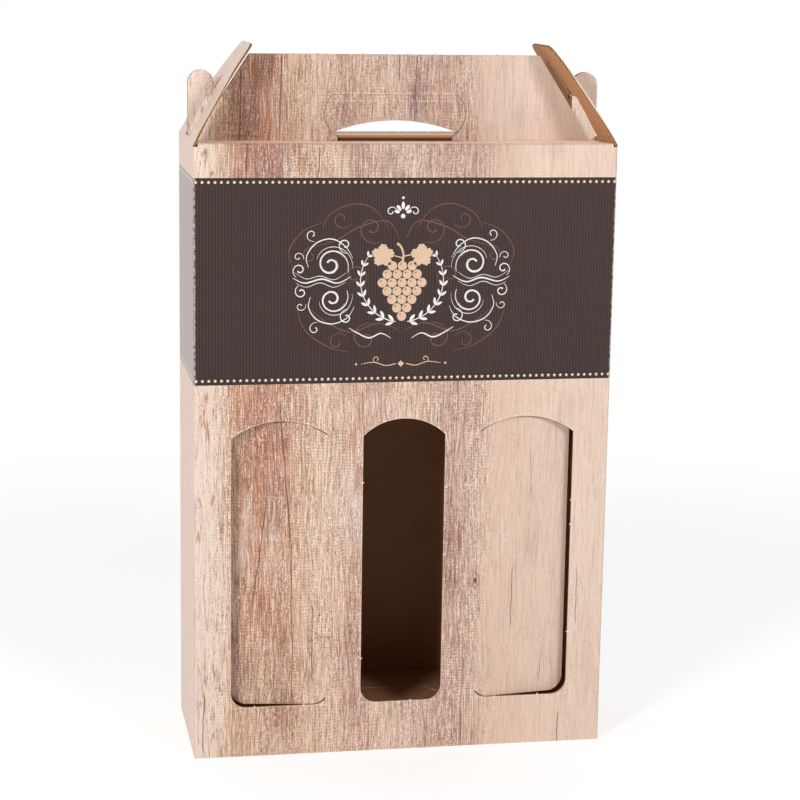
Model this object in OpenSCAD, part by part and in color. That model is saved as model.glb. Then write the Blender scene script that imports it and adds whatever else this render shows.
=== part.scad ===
// Bottle carrier folded from one sheet of fine-fluted corrugated board: a tall box with three
// arched windows, a gable top with a doubled handle plate, and two side flaps locked over ears.
// The front faces -Y, +X is to the viewer's right, +Z is up, and the base stands on z = 0.

/* [Board] */
// Thickness of the corrugated board
board = 1.6; // [1.4:0.1:1.8]
// Free width of each cut around a flap
kerf = 0.3; // [0.25:0.05:0.4]
// Gap between the two handle plates
plate_gap = 0.4; // [0.3:0.1:0.8]

/* [Body] */
// Outside width of the body
body_w = 248; // [246:1:262]
// Outside depth of the body
body_d = 95; // [90:1:104]
// Height of the fold between the front panel and the roof
body_h = 365; // [330:1:400]
// Radius of the upright folds
fold_r = 1.3; // [1:0.1:1.5]
// Width of the strip glued inside the back panel
glue_w = 28; // [20:1:34]

/* [Base] */
// Height of the floor's upper face
floor_h = 18.2; // [12:0.2:24]
// Length of each end flap under the floor
end_flap = 60; // [40:1:75]
// Half width of the floor's locking tongue at its root
tongue_w = 34; // [24:1:44]
// Reach of the locking tongue past the middle of the floor
tongue_l = 14; // [8:1:20]
// Width of the seam between the two floor flaps
seam = 0.6; // [0.4:0.1:1]

/* [Windows] */
// Width of the middle window
mid_w = 49.2; // [40:0.2:56]
// Width of each side window
side_w = 59; // [50:0.5:64]
// Width of the panel left beyond a side window
side_margin = 21.5; // [17:0.5:26]
// Height of the windows' lower edge
sill_z = 30.4; // [26:0.2:40]
// Height at which each window's arch starts
spring_z = 194.2; // [170:0.2:210]
// Rise of each window's arch
arch_rise = 10; // [6:0.5:14]
// Radius of the windows' lower corners
sill_r = 9.5; // [6:0.5:12]
// Angle at which the window flaps stand pushed in
window_rest = 8; // [3:0.5:20]

/* [Handle] */
// Height of the handle plate above the roof
handle_h = 48.5; // [42:0.5:56]
// Half width of the handle plate's top edge
handle_top = 87; // [80:0.5:92]
// Horizontal run of the handle's slanted edge for each millimetre of height
handle_run = 0.649; // [0.55:0.001:0.75]
// Distance from the middle to an ear's outer edge
ear_out = 122.9; // [121:0.1:123]
// Width of an ear
ear_w = 15.3; // [12:0.1:18]
// Height of an ear above the roof
ear_h = 39; // [34:0.5:44]
// Radius of the handle's top corners
handle_r = 2; // [1:0.5:4]

/* [Hand hole] */
// Distance from the handle's top edge down to the hand hole
grip_drop = 23; // [20:0.5:26]
// Height of the hole's lower edge in the rear plate above the roof
grip_low = 3; // [2:0.5:6]
// Half width of the hand hole at its widest
grip_half = 42.5; // [36:0.5:48]
// Radius of the hand hole's ends
grip_r = 14.3; // [12:0.1:18]
// Rise of the grip flap's hollow lower edge
grip_rise = 7; // [4:0.5:9]

/* [Side flaps] */
// Angle of each side flap above the horizontal
flap_angle = 57.5; // [54:0.5:62]
// Length of each side flap
flap_l = 66; // [60:0.5:72]
// Half width of the tip before its corners are rounded
flap_tip = 25.5; // [20:0.5:32]
// Radius of the tip's corners
flap_r = 9; // [5:0.5:14]
// Radius of the flap's slight outward bow
flap_bow = 360; // [240:10:900]
// Half width of the slot that takes the ears
slot_half = 11.5; // [8:0.5:14]
// Distance from the fold to the end of the wide slot
slot_l = 30.4; // [29.8:0.1:34]
// Half width of the slit that lets the ears' tips swing through
slit_half = 2.3; // [2.2:0.1:3]
// Distance from the fold to the end of the slit
slit_l = 42; // [41.6:0.2:46]

/* [Hidden] */
fine = 96;
past = 1;
half_w = body_w / 2;
half_d = body_d / 2;
bead = board / 2;
// upright inside faces
in_w = half_w - board;
in_d = half_d - board;
// fold axes of the side flaps
hinge_x = half_w - bead;
hinge_z = body_h - bead;
// the side panels end just under the flaps' rounded fold
side_top = body_h - board - kerf;
// the roof plates end clear of the leaning flaps
roof_half = half_w - 2.6;
roof_low = body_h - board;
// handle plates: front one from plate_in back to plate_out
plate_in = plate_gap / 2;
plate_out = plate_in + board;
plate_mid = plate_in + bead;
ear_in = ear_out - ear_w;
ear_r = ear_w / 2;
handle_foot = handle_top + handle_h * handle_run;
// hand hole: height of its upper edge above the roof, then the round ends
grip_top = handle_h - grip_drop;
grip_mid_z = (grip_top + grip_low) / 2;
grip_cx = grip_half - grip_r;
grip_end = grip_cx + sqrt(pow(grip_r, 2) - pow(grip_mid_z - grip_low, 2));
grip_arch = (pow(grip_end, 2) + pow(grip_rise, 2)) / (2 * grip_rise);
grip_axis = body_h + grip_top - kerf - bead;
// half length of the grip flap's fold, and how much larger the rear plate's hole is
grip_fold = grip_end - kerf;
grip_clear = 2.5;
// windows
side_x = half_w - side_margin - side_w;
side_cx = side_x + side_w / 2;
window_hinge_x = side_x + kerf + bead;
window_hinge_y = -half_d + bead;
// beyond its fold's ends a window flap starts this much further out, to swing past the panel
fold_clear = 1.3;
// base
rim = 2 * board;
floor_low = floor_h - board;
end_low = floor_low - board;
// side flap outline
flap_half = half_d - 0.4;
tip_cx = flap_l - flap_r;
tip_cy = flap_tip - flap_r;
tip_dist = norm([tip_cx, flap_half - tip_cy]);
tip_turn = asin(flap_r / tip_dist) - atan2(flap_half - tip_cy, tip_cx);
tip_run = sqrt(pow(tip_dist, 2) - pow(flap_r, 2));
tip_tan = [tip_run * cos(tip_turn), flap_half + tip_run * sin(tip_turn)];
bow_drop = sqrt(pow(flap_bow, 2) - pow(flap_l / 2, 2));

printed = [0.86, 0.76, 0.66];

// radius of an arch over a span with a rise
function arch_radius(span, rise) = (pow(span / 2, 2) + pow(rise, 2)) / (2 * rise);

// turns a drawing in x and z into an upright plate between two depths
module upright(y_from, y_to) {
    translate([0, y_to, 0]) rotate([90, 0, 0]) linear_extrude(y_to - y_from) children();
}

// an arched window with round lower corners, drawn about its own middle line
module window_outline(width, inset) {
    half = width / 2 - inset;
    rad = arch_radius(width, arch_rise);
    corner = sill_r - inset;
    low = sill_z + inset;
    translate([-half + corner, low]) square([2 * (half - corner), sill_r]);
    translate([-half, low + corner]) square([2 * half, spring_z - past - low - corner]);
    for (side = [-1, 1])
        translate([side * (half - corner), low + corner]) circle(corner, $fn = fine);
    intersection() {
        translate([0, spring_z + arch_rise - rad]) circle(rad - inset, $fn = fine);
        translate([-half, spring_z - 2 * past]) square([2 * half, 2 * arch_rise]);
    }
}

// the hand hole with bulging ends, between two heights
module grip_outline(grow, low, high) {
    intersection() {
        union() {
            translate([-grip_cx, body_h + low]) square([2 * grip_cx, high - low]);
            for (side = [-1, 1])
                translate([side * grip_cx, body_h + grip_mid_z]) circle(grip_r + grow, $fn = fine);
        }
        translate([-body_w / 2, body_h + low]) square([body_w, high - low]);
    }
}

// one handle plate: slanted shoulders, and an ear beyond a notch at each end
module handle_outline() {
    foot = ear_in + 2;
    foot_z = body_h + (handle_foot - foot) / handle_run;
    lean = atan(handle_run);
    mid = [handle_top - handle_r * tan(45 - lean / 2), body_h + handle_h - handle_r];
    corner = [for (i = [0 : 8]) mid + handle_r * [
        cos(lean + i * (90 - lean) / 8), sin(lean + i * (90 - lean) / 8)]];
    for (side = [0, 1]) mirror([side, 0]) {
        polygon(concat([[-past, roof_low], [foot, roof_low], [foot, foot_z]], corner,
            [[-past, body_h + handle_h]]));
        translate([ear_out - ear_r, body_h + ear_h - ear_r]) circle(ear_r, $fn = fine);
        translate([ear_in, roof_low]) square([ear_w, ear_h - ear_r + board]);
    }
}

// rectangular tube with rounded upright folds
module wall_tube() {
    difference() {
        union() {
            translate([-half_w + fold_r, -half_d, 0]) cube([body_w - 2 * fold_r, body_d, body_h]);
            translate([-half_w, -half_d + fold_r, 0]) cube([body_w, body_d - 2 * fold_r, body_h]);
            for (sx = [-1, 1], sy = [-1, 1])
                translate([sx * (half_w - fold_r), sy * (half_d - fold_r), 0])
                    cylinder(r = fold_r, h = body_h, $fn = 48);
        }
        translate([-in_w, -in_d, -past]) cube([2 * in_w, 2 * in_d, body_h + 2 * past]);
    }
}

// the front and back folds over to the roof, rounded outside
module roof_fold(side) {
    translate([0, side * in_d, roof_low]) rotate([0, 90, 0])
        cylinder(r = board, h = 2 * roof_half, center = true, $fn = 64);
}

// everything above the upright panels' straight part, cut away before the folds are added
module top_trim() {
    translate([-half_w - past, -half_d - past, roof_low])
        cube([body_w + 2 * past, body_d + 2 * past, board + past]);
    for (side = [-1, 1])
        translate([side * (roof_half + half_w / 2), 0, side_top + half_w / 2])
            cube([half_w, body_d + 2 * past, half_w], center = true);
}

// the two floor flaps, the second with a tongue let into the first
module floor_flaps() {
    difference() {
        translate([-in_w + 0.4, -in_d, floor_low]) cube([2 * in_w - 0.8, 2 * in_d, board]);
        translate([0, 0, floor_low - past]) linear_extrude(board + 2 * past) {
            for (side = [0, 1]) mirror([side, 0]) {
                translate([tongue_w, -seam / 2]) square([half_w, seam]);
                polygon([
                    [tongue_w, -seam / 2], [tongue_w + seam, seam / 2],
                    [tongue_w - 8 + seam, tongue_l + seam / 2], [tongue_w - 8, tongue_l - seam / 2]
                ]);
            }
            translate([-tongue_w + 8 - seam / 2, tongue_l - seam / 2])
                square([2 * tongue_w - 16 + seam, seam]);
        }
    }
}

// recessed base: the floor flaps turned up inside the rim, over the two end flaps
module base() {
    floor_flaps();
    for (side = [-1, 1]) {
        translate([-in_w, side > 0 ? in_d - board : -in_d, 0]) cube([2 * in_w, board, floor_h]);
        translate([side > 0 ? in_w - board : -in_w, -in_d, 0]) cube([board, 2 * in_d, floor_low]);
        translate([side > 0 ? in_w - end_flap : -in_w, -in_d + board + 1, end_low])
            cube([end_flap, 2 * (in_d - board - 1), board]);
    }
}

// the box with its roof, both handle plates and the base, folded from one sheet
module carton() {
    color(printed) difference() {
        union() {
            difference() {
                wall_tube();
                top_trim();
            }
            for (side = [-1, 1]) intersection() {
                roof_fold(side);
                translate([-half_w, side > 0 ? in_d : -half_d, roof_low]) cube([body_w, board, board]);
            }
            for (side = [-1, 1])
                translate([-roof_half, side > 0 ? plate_in : -in_d, roof_low])
                    cube([2 * roof_half, in_d - plate_in, board]);
            difference() {
                upright(-plate_out, -plate_in) handle_outline();
                upright(-plate_out - past, 0) grip_outline(0, 0.2, grip_top);
            }
            difference() {
                upright(plate_in, plate_out) handle_outline();
                upright(0, plate_out + past)
                    grip_outline(grip_clear, grip_low, grip_top + board);
            }
            // strip glued inside the back panel
            translate([-in_w, in_d - board, floor_h + 2])
                cube([glue_w, board, roof_low - floor_h - 4]);
            base();
        }
        upright(-half_d - past, -in_d + past) {
            window_outline(mid_w, 0);
            for (side = [-1, 1]) translate([side * side_cx, 0]) window_outline(side_w, 0);
        }
    }
}

// tapered side flap with round tip corners, its fold along the Y axis
module flap_outline() {
    polygon([
        [0, -flap_half], [tip_tan[0], -tip_tan[1]], [tip_cx, -tip_cy], [flap_l, -tip_cy],
        [flap_l, tip_cy], [tip_cx, tip_cy], [tip_tan[0], tip_tan[1]], [0, flap_half]
    ]);
    for (side = [-1, 1]) translate([tip_cx, side * tip_cy]) circle(flap_r, $fn = fine);
}

// side flap lying along +X from its fold, outer face up
module side_flap_blank() {
    intersection() {
        translate([0, 0, -2 * board]) linear_extrude(5 * board) flap_outline();
        translate([flap_l / 2, half_d, -bow_drop]) rotate([90, 0, 0]) difference() {
            cylinder(r = flap_bow + bead, h = body_d, $fn = 720);
            translate([0, 0, -past])
                cylinder(r = flap_bow - bead, h = body_d + 2 * past, $fn = 720);
        }
    }
    translate([0, flap_half - kerf, 0]) rotate([90, 0, 0])
        cylinder(r = bead, h = 2 * (flap_half - kerf), $fn = 48);
}

// side flap with the slot for the ears, placed at its fold
module side_flap(side) {
    color(printed)
    translate([side * hinge_x, 0, hinge_z]) mirror([side > 0 ? 1 : 0, 0, 0])
        rotate([0, -flap_angle, 0]) difference() {
            side_flap_blank();
            translate([-2 * board, -slot_half, -4]) cube([slot_l - 3 + 2 * board, 2 * slot_half, 8]);
            translate([0, -slot_half + 3, -4]) cube([slot_l, 2 * slot_half - 6, 8]);
            for (edge = [-1, 1])
                translate([slot_l - 3, edge * (slot_half - 3), -4]) cylinder(r = 3, h = 8, $fn = 48);
            translate([0, -slit_half, -4]) cube([slit_l, 2 * slit_half, 8]);
        }
}

module left_side_flap() {
    side_flap(-1);
}

module right_side_flap() {
    side_flap(1);
}

// window flap in the plane of the front panel, with its fold as a rounded bead
module window_flap_blank() {
    fold_low = sill_z + sill_r;
    fold_l = spring_z - fold_low - 2 * kerf;
    intersection() {
        upright(-half_d, -in_d) translate([side_cx, 0]) window_outline(side_w, kerf);
        translate([window_hinge_x, -body_d, fold_low]) cube([body_w, body_d, fold_l]);
    }
    intersection() {
        upright(-half_d, -in_d) translate([side_cx, 0]) intersection() {
            window_outline(side_w, kerf);
            translate([fold_clear - kerf, 0]) window_outline(side_w, kerf);
        }
        translate([window_hinge_x + fold_clear, -body_d, 0]) cube([body_w, body_d, body_h]);
    }
    translate([window_hinge_x, window_hinge_y, fold_low])
        cylinder(r = bead, h = fold_l, $fn = 48);
}

// window flap pushed in about its upright fold
module window_flap(side) {
    color(printed) mirror([side < 0 ? 1 : 0, 0, 0])
        translate([window_hinge_x, window_hinge_y, 0]) rotate([0, 0, window_rest])
            translate([-window_hinge_x, -window_hinge_y, 0]) window_flap_blank();
}

module left_window_flap() {
    window_flap(-1);
}

module right_window_flap() {
    window_flap(1);
}

// flap that fills the hand hole of the front plate, folded along its top edge
module grip_flap() {
    color(printed) {
        difference() {
            upright(-plate_out, -plate_in) {
                grip_outline(-kerf, grip_low, grip_axis - body_h - 2 * past);
                translate([-grip_fold, grip_axis - 3 * past]) square([2 * grip_fold, 3 * past]);
            }
            upright(-plate_out - past, 0)
                translate([0, body_h + grip_low + grip_rise - grip_arch])
                    circle(grip_arch, $fn = 240);
        }
        translate([0, -plate_mid, grip_axis]) rotate([0, 90, 0])
            cylinder(r = bead, h = 2 * (grip_fold - kerf), center = true, $fn = 48);
    }
}

carton();
left_side_flap();
right_side_flap();
left_window_flap();
right_window_flap();
grip_flap();
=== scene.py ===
"""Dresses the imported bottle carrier: a box of fine-fluted board with a wood print and a dark band.

Each CAD node is copied, merged and given the coordinates of the flat sheet that it was folded
from, so the print runs on over every fold, and the raw inside and the cut edges have their own
finishes. Lengths in the classes are millimetres; meshes are metres, as the frame is.
"""

import logging
import math
from dataclasses import dataclass, field
from enum import Enum
from typing import Callable, Union

import bmesh
import bpy
from mathutils import Euler, Matrix, Vector


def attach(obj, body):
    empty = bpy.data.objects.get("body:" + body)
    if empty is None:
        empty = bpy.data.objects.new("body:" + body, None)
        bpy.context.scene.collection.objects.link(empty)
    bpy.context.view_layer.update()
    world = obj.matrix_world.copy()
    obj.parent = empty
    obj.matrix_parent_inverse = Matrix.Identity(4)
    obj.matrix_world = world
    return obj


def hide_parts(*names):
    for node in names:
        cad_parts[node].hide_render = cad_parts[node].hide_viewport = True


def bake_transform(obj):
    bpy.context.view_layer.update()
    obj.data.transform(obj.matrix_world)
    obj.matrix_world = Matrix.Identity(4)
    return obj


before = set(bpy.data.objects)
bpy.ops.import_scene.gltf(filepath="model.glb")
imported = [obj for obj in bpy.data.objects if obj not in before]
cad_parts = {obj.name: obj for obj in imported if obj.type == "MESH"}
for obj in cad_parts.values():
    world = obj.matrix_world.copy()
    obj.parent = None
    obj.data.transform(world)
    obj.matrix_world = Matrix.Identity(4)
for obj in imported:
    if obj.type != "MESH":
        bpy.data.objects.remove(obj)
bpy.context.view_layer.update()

log = logging.getLogger("carrier")

MM = 0.001
SHEET = "Sheet"
SHEET_UNIT = 100.0
# the board's thickness and the length of one flute
BOARD = 1.6
FLUTE = 3.2
# the least cosine at which a face counts as square to an axis
SQUARE = 0.9
WHITE = (1.0, 1.0, 1.0, 1.0)

Operand = Union["Value", float]
Colour = tuple[float, float, float, float]
Tone = tuple[int, int, int]


def srgb(red: int, green: int, blue: int) -> Colour:
    """Turns a screen colour into the linear one that shaders use.

    Args:
        red: Red, 0 to 255.
        green: Green, 0 to 255.
        blue: Blue, 0 to 255.

    Returns:
        The linear colour with an alpha of 1.
    """
    def linear(part: int) -> float:
        """Returns one linear channel."""
        share = part / 255
        return share / 12.92 if share <= 0.04045 else ((share + 0.055) / 1.055) ** 2.4

    return (linear(red), linear(green), linear(blue), 1.0)


class Finish(Enum):
    """The three faces that a piece of this board can show."""

    PRINT = 0
    KRAFT = 1
    CUT = 2


class Value:
    """A number in a material, whose operators add Math nodes."""

    def __init__(self, graph: "Graph", socket: bpy.types.NodeSocket) -> None:
        """Keeps the graph and the socket that carries the number."""
        self.graph = graph
        self.socket = socket

    def _math(self, operation: str, *operands: Operand, clamp: bool = False) -> "Value":
        """Adds a Math node.

        Args:
            operation: The node's operation.
            operands: Its inputs in order.
            clamp: Whether the result is held between 0 and 1.

        Returns:
            The node's result.
        """
        node = self.graph.add("ShaderNodeMath", {"operation": operation, "use_clamp": clamp},
                              dict(enumerate(operands)))
        return Value(self.graph, node.outputs[0])

    def __add__(self, other: Operand) -> "Value":
        """Returns the sum."""
        return self._math("ADD", self, other)

    def __radd__(self, other: float) -> "Value":
        """Returns the sum."""
        return self._math("ADD", other, self)

    def __sub__(self, other: Operand) -> "Value":
        """Returns the difference."""
        return self._math("SUBTRACT", self, other)

    def __rsub__(self, other: float) -> "Value":
        """Returns the difference the other way round."""
        return self._math("SUBTRACT", other, self)

    def __mul__(self, other: Operand) -> "Value":
        """Returns the product."""
        return self._math("MULTIPLY", self, other)

    def __rmul__(self, other: float) -> "Value":
        """Returns the product."""
        return self._math("MULTIPLY", other, self)

    def __abs__(self) -> "Value":
        """Returns the size without its sign."""
        return self._math("ABSOLUTE", self)

    def fract(self) -> "Value":
        """Returns what follows the whole number."""
        return self._math("FRACT", self)

    def floor(self) -> "Value":
        """Returns the whole number below."""
        return self._math("FLOOR", self)

    def sine(self) -> "Value":
        """Returns the sine."""
        return self._math("SINE", self)

    def cosine(self) -> "Value":
        """Returns the cosine."""
        return self._math("COSINE", self)

    def root(self) -> "Value":
        """Returns the square root."""
        return self._math("SQRT", self)

    def wave(self, pitch: float) -> "Value":
        """Returns a sine wave of this pitch, in the number's own unit."""
        return (self * (2 * math.pi / pitch)).sine()

    def reach(self, other: "Value") -> "Value":
        """Returns the distance of a point with this run and the other's rise."""
        return (self * self + other * other).root()

    def turn(self, other: "Value") -> "Value":
        """Returns the angle of a point with this height and the other's run."""
        return self._math("ARCTAN2", self, other)

    def least(self, other: Operand) -> "Value":
        """Returns the smaller of the two."""
        return self._math("MINIMUM", self, other)

    def most(self, other: Operand) -> "Value":
        """Returns the larger of the two."""
        return self._math("MAXIMUM", self, other)

    def held(self) -> "Value":
        """Returns the number held between 0 and 1."""
        return self._math("ADD", self, 0.0, clamp=True)

    def rise(self, low: float, high: float) -> "Value":
        """Steps smoothly from 0 to 1.

        Args:
            low: Where the result is 0.
            high: Where it is 1, on either side of the first.

        Returns:
            The step.
        """
        node = self.graph.add(
            "ShaderNodeMapRange", {"interpolation_type": "SMOOTHSTEP"},
            {"Value": self, "From Min": low, "From Max": high})
        return Value(self.graph, node.outputs["Result"])

    def within(self, low: float, high: float, soft: float) -> "Value":
        """Returns 1 between two bounds, with soft borders.

        Args:
            low: The lower bound.
            high: The upper bound.
            soft: The width of each border.

        Returns:
            The mask.
        """
        return self.rise(low - soft / 2, low + soft / 2) * self.rise(high + soft / 2, high - soft / 2)


class Tint:
    """A colour in a material, mixed through Mix and Vector Math nodes."""

    def __init__(self, graph: "Graph", socket: bpy.types.NodeSocket) -> None:
        """Keeps the graph and the socket that carries the colour."""
        self.graph = graph
        self.socket = socket

    def under(self, top: Union["Tint", Colour], mask: Operand, blend: str = "MIX") -> "Tint":
        """Lays another colour over this one.

        Args:
            top: The colour on top.
            mask: How much of it shows.
            blend: The Mix node's blend type.

        Returns:
            The mixed colour.
        """
        node = self.graph.add(
            "ShaderNodeMix", {"data_type": "RGBA", "blend_type": blend}, {0: mask, 6: self, 7: top})
        return Tint(self.graph, node.outputs[2])

    def scaled(self, factor: Value) -> "Tint":
        """Returns the colour made lighter or darker by a factor."""
        node = self.graph.add("ShaderNodeVectorMath", {"operation": "SCALE"},
                              {0: self, "Scale": factor})
        return Tint(self.graph, node.outputs[0])


class Graph:
    """A node tree of a material or of the room, built by one method for every kind of node."""

    def __init__(self, owner: Union[bpy.types.Material, bpy.types.World]) -> None:
        """Clears the tree of what it is made for.

        Args:
            owner: The material or world.
        """
        owner.use_nodes = True
        self.owner = owner
        self.tree = owner.node_tree
        self.tree.nodes.clear()

    def add(self, kind: str, settings: dict | None = None,
            inputs: dict | None = None) -> bpy.types.Node:
        """Adds a node, sets it and fills its sockets.

        Args:
            kind: The node's type.
            settings: Its own settings; a ramp's stops are pairs of place and colour.
            inputs: The values or links of its sockets, by name or number.

        Returns:
            The node.
        """
        node = self.tree.nodes.new(kind)
        for key, value in (settings or {}).items():
            if key == "stops":
                ramp = node.color_ramp
                while len(ramp.elements) < len(value):
                    ramp.elements.new(1.0)
                for element, (place, colour) in zip(ramp.elements, value):
                    element.position, element.color = place, colour
            else:
                setattr(node, key, value)
        for key, value in (inputs or {}).items():
            source = getattr(value, "socket", value)
            if isinstance(source, bpy.types.NodeSocket):
                self.tree.links.new(source, node.inputs[key])
            else:
                node.inputs[key].default_value = source
        return node

    def sheet(self) -> tuple[Value, Value]:
        """Reads the flat sheet's coordinates.

        Returns:
            The place across and along the sheet in millimetres.
        """
        uv = self.add("ShaderNodeUVMap", {"uv_map": SHEET})
        parts = self.add("ShaderNodeSeparateXYZ", None, {0: uv.outputs[0]})
        return (Value(self, parts.outputs[0]) * SHEET_UNIT,
                Value(self, parts.outputs[1]) * SHEET_UNIT)

    def ramp(self, place: Value, stops: list[tuple[float, Colour]]) -> Tint:
        """Colours a number between 0 and 1 by stops of place and colour."""
        node = self.add("ShaderNodeValToRGB", {"stops": stops}, {"Fac": place})
        return Tint(self, node.outputs["Color"])

    def plain(self, colour: Colour) -> Tint:
        """Starts from one colour, which others are mixed with."""
        node = self.add("ShaderNodeMix", {"data_type": "RGBA"}, {0: 0.0, 6: colour})
        return Tint(self, node.outputs[2])

    def seen(self) -> Value:
        """Says where a surface is seen straight, in a mirror or through glass.

        Returns:
            1 for those rays and 0 for the light that surfaces exchange.
        """
        rays = self.add("ShaderNodeLightPath")
        seen = Value(self, rays.outputs["Is Camera Ray"])
        for ray in ("Is Glossy Ray", "Is Transmission Ray"):
            seen = seen.most(Value(self, rays.outputs[ray]))
        return seen

    def bump(self, height: Value, distance: float, strength: float) -> bpy.types.NodeSocket:
        """Adds a bump.

        Args:
            height: The height, in units of the distance.
            distance: The distance in metres.
            strength: The bump's strength.

        Returns:
            The normal.
        """
        node = self.add("ShaderNodeBump", None,
                        {"Height": height, "Distance": distance, "Strength": strength})
        return node.outputs["Normal"]

    def surface(self, inputs: dict) -> bpy.types.Material:
        """Ends the material with one Principled shader.

        Args:
            inputs: The shader's values and links by socket name.

        Returns:
            The material.
        """
        shader = self.add("ShaderNodeBsdfPrincipled", None, inputs)
        self.add("ShaderNodeOutputMaterial", None, {"Surface": shader.outputs[0]})
        return self.owner


@dataclass(frozen=True)
class Grain:
    """A noise on the sheet: how fine it is across and along the grain, and its own layer."""

    across: float
    along: float
    layer: float
    detail: float = 3.0
    rough: float = 0.55

    def at(self, g: Graph, u: Value, v: Value) -> Value:
        """Reads the noise, which is about 0.5 on average.

        Args:
            g: The material's graph.
            u: The place across the grain in millimetres.
            v: The place along it.

        Returns:
            The noise.
        """
        place = g.add("ShaderNodeCombineXYZ", None,
                      {0: u * self.across, 1: v * self.along, 2: self.layer})
        node = g.add("ShaderNodeTexNoise", None, {
            "Vector": place.outputs[0], "Scale": 1.0, "Detail": self.detail, "Roughness": self.rough})
        return Value(g, node.outputs["Fac"])


@dataclass(frozen=True)
class Mark:
    """Small marks of one kind in the planks: their noise, where it shows, and their tone."""

    noise: Grain
    low: float
    high: float
    tone: Tone

    def over(self, g: Graph, wood: Tint, place: tuple[Value, Value], strength: Value) -> Tint:
        """Lays the marks over the planks.

        Args:
            g: The material's graph.
            wood: The planks' colour so far.
            place: The place across and along the grain.
            strength: How strong the marks are.

        Returns:
            The colour with the marks.
        """
        shown = self.noise.at(g, *place).rise(self.low, self.high)
        return wood.under(srgb(*self.tone), shown * strength)


@dataclass(frozen=True)
class Crack:
    """A drying crack in the printed planks, leaning a little as it climbs."""

    across: float
    low: float
    high: float
    width: float
    lean: float = 0.0
    taper: float = 6.0
    tone: Tone = (96, 64, 58)
    strength: float = 0.8

    def over(self, wood: Tint, u: Value, v: Value, gap: Value) -> Tint:
        """Opens the crack.

        Args:
            wood: The planks' colour so far.
            u: The wandering place across the sheet.
            v: The place along the grain.
            gap: Where the cracks stay closed for a short way.

        Returns:
            The colour with the crack.
        """
        half = (self.high - self.low) / 2
        ends = abs(v - (self.low + half)).rise(half, half - self.taper) * gap
        off = abs(u - self.across - (v - self.low) * self.lean)
        line = off.rise(self.width * 0.9, self.width * 0.25)
        return wood.under(srgb(*self.tone), line * ends * self.strength)


@dataclass(frozen=True)
class Stain:
    """A soft patch of another tone in the printed planks."""

    across: float
    along: float
    half_w: float
    half_l: float
    tone: Tone
    strength: float
    border: tuple[float, float] = (1.1, 0.35)

    def over(self, wood: Tint, u: Value, v: Value, ragged: Value) -> Tint:
        """Lays the patch over the planks.

        Args:
            wood: The planks' colour so far.
            u: The place across the sheet.
            v: The place along the grain.
            ragged: How far the patch's border strays.

        Returns:
            The colour with the patch.
        """
        reach = ((u - self.across) * (1 / self.half_w)).reach(
            (v - self.along) * (1 / self.half_l)) + ragged
        return wood.under(srgb(*self.tone), reach.rise(*self.border) * self.strength)


@dataclass(frozen=True)
class Shade:
    """A part of the sheet's width that is printed a little darker."""

    left: float
    right: float
    soft: float
    strength: float

    def over(self, u: Value) -> Value:
        """Says how much darker a place is."""
        return u.within(self.left, self.right, self.soft) * self.strength


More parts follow.
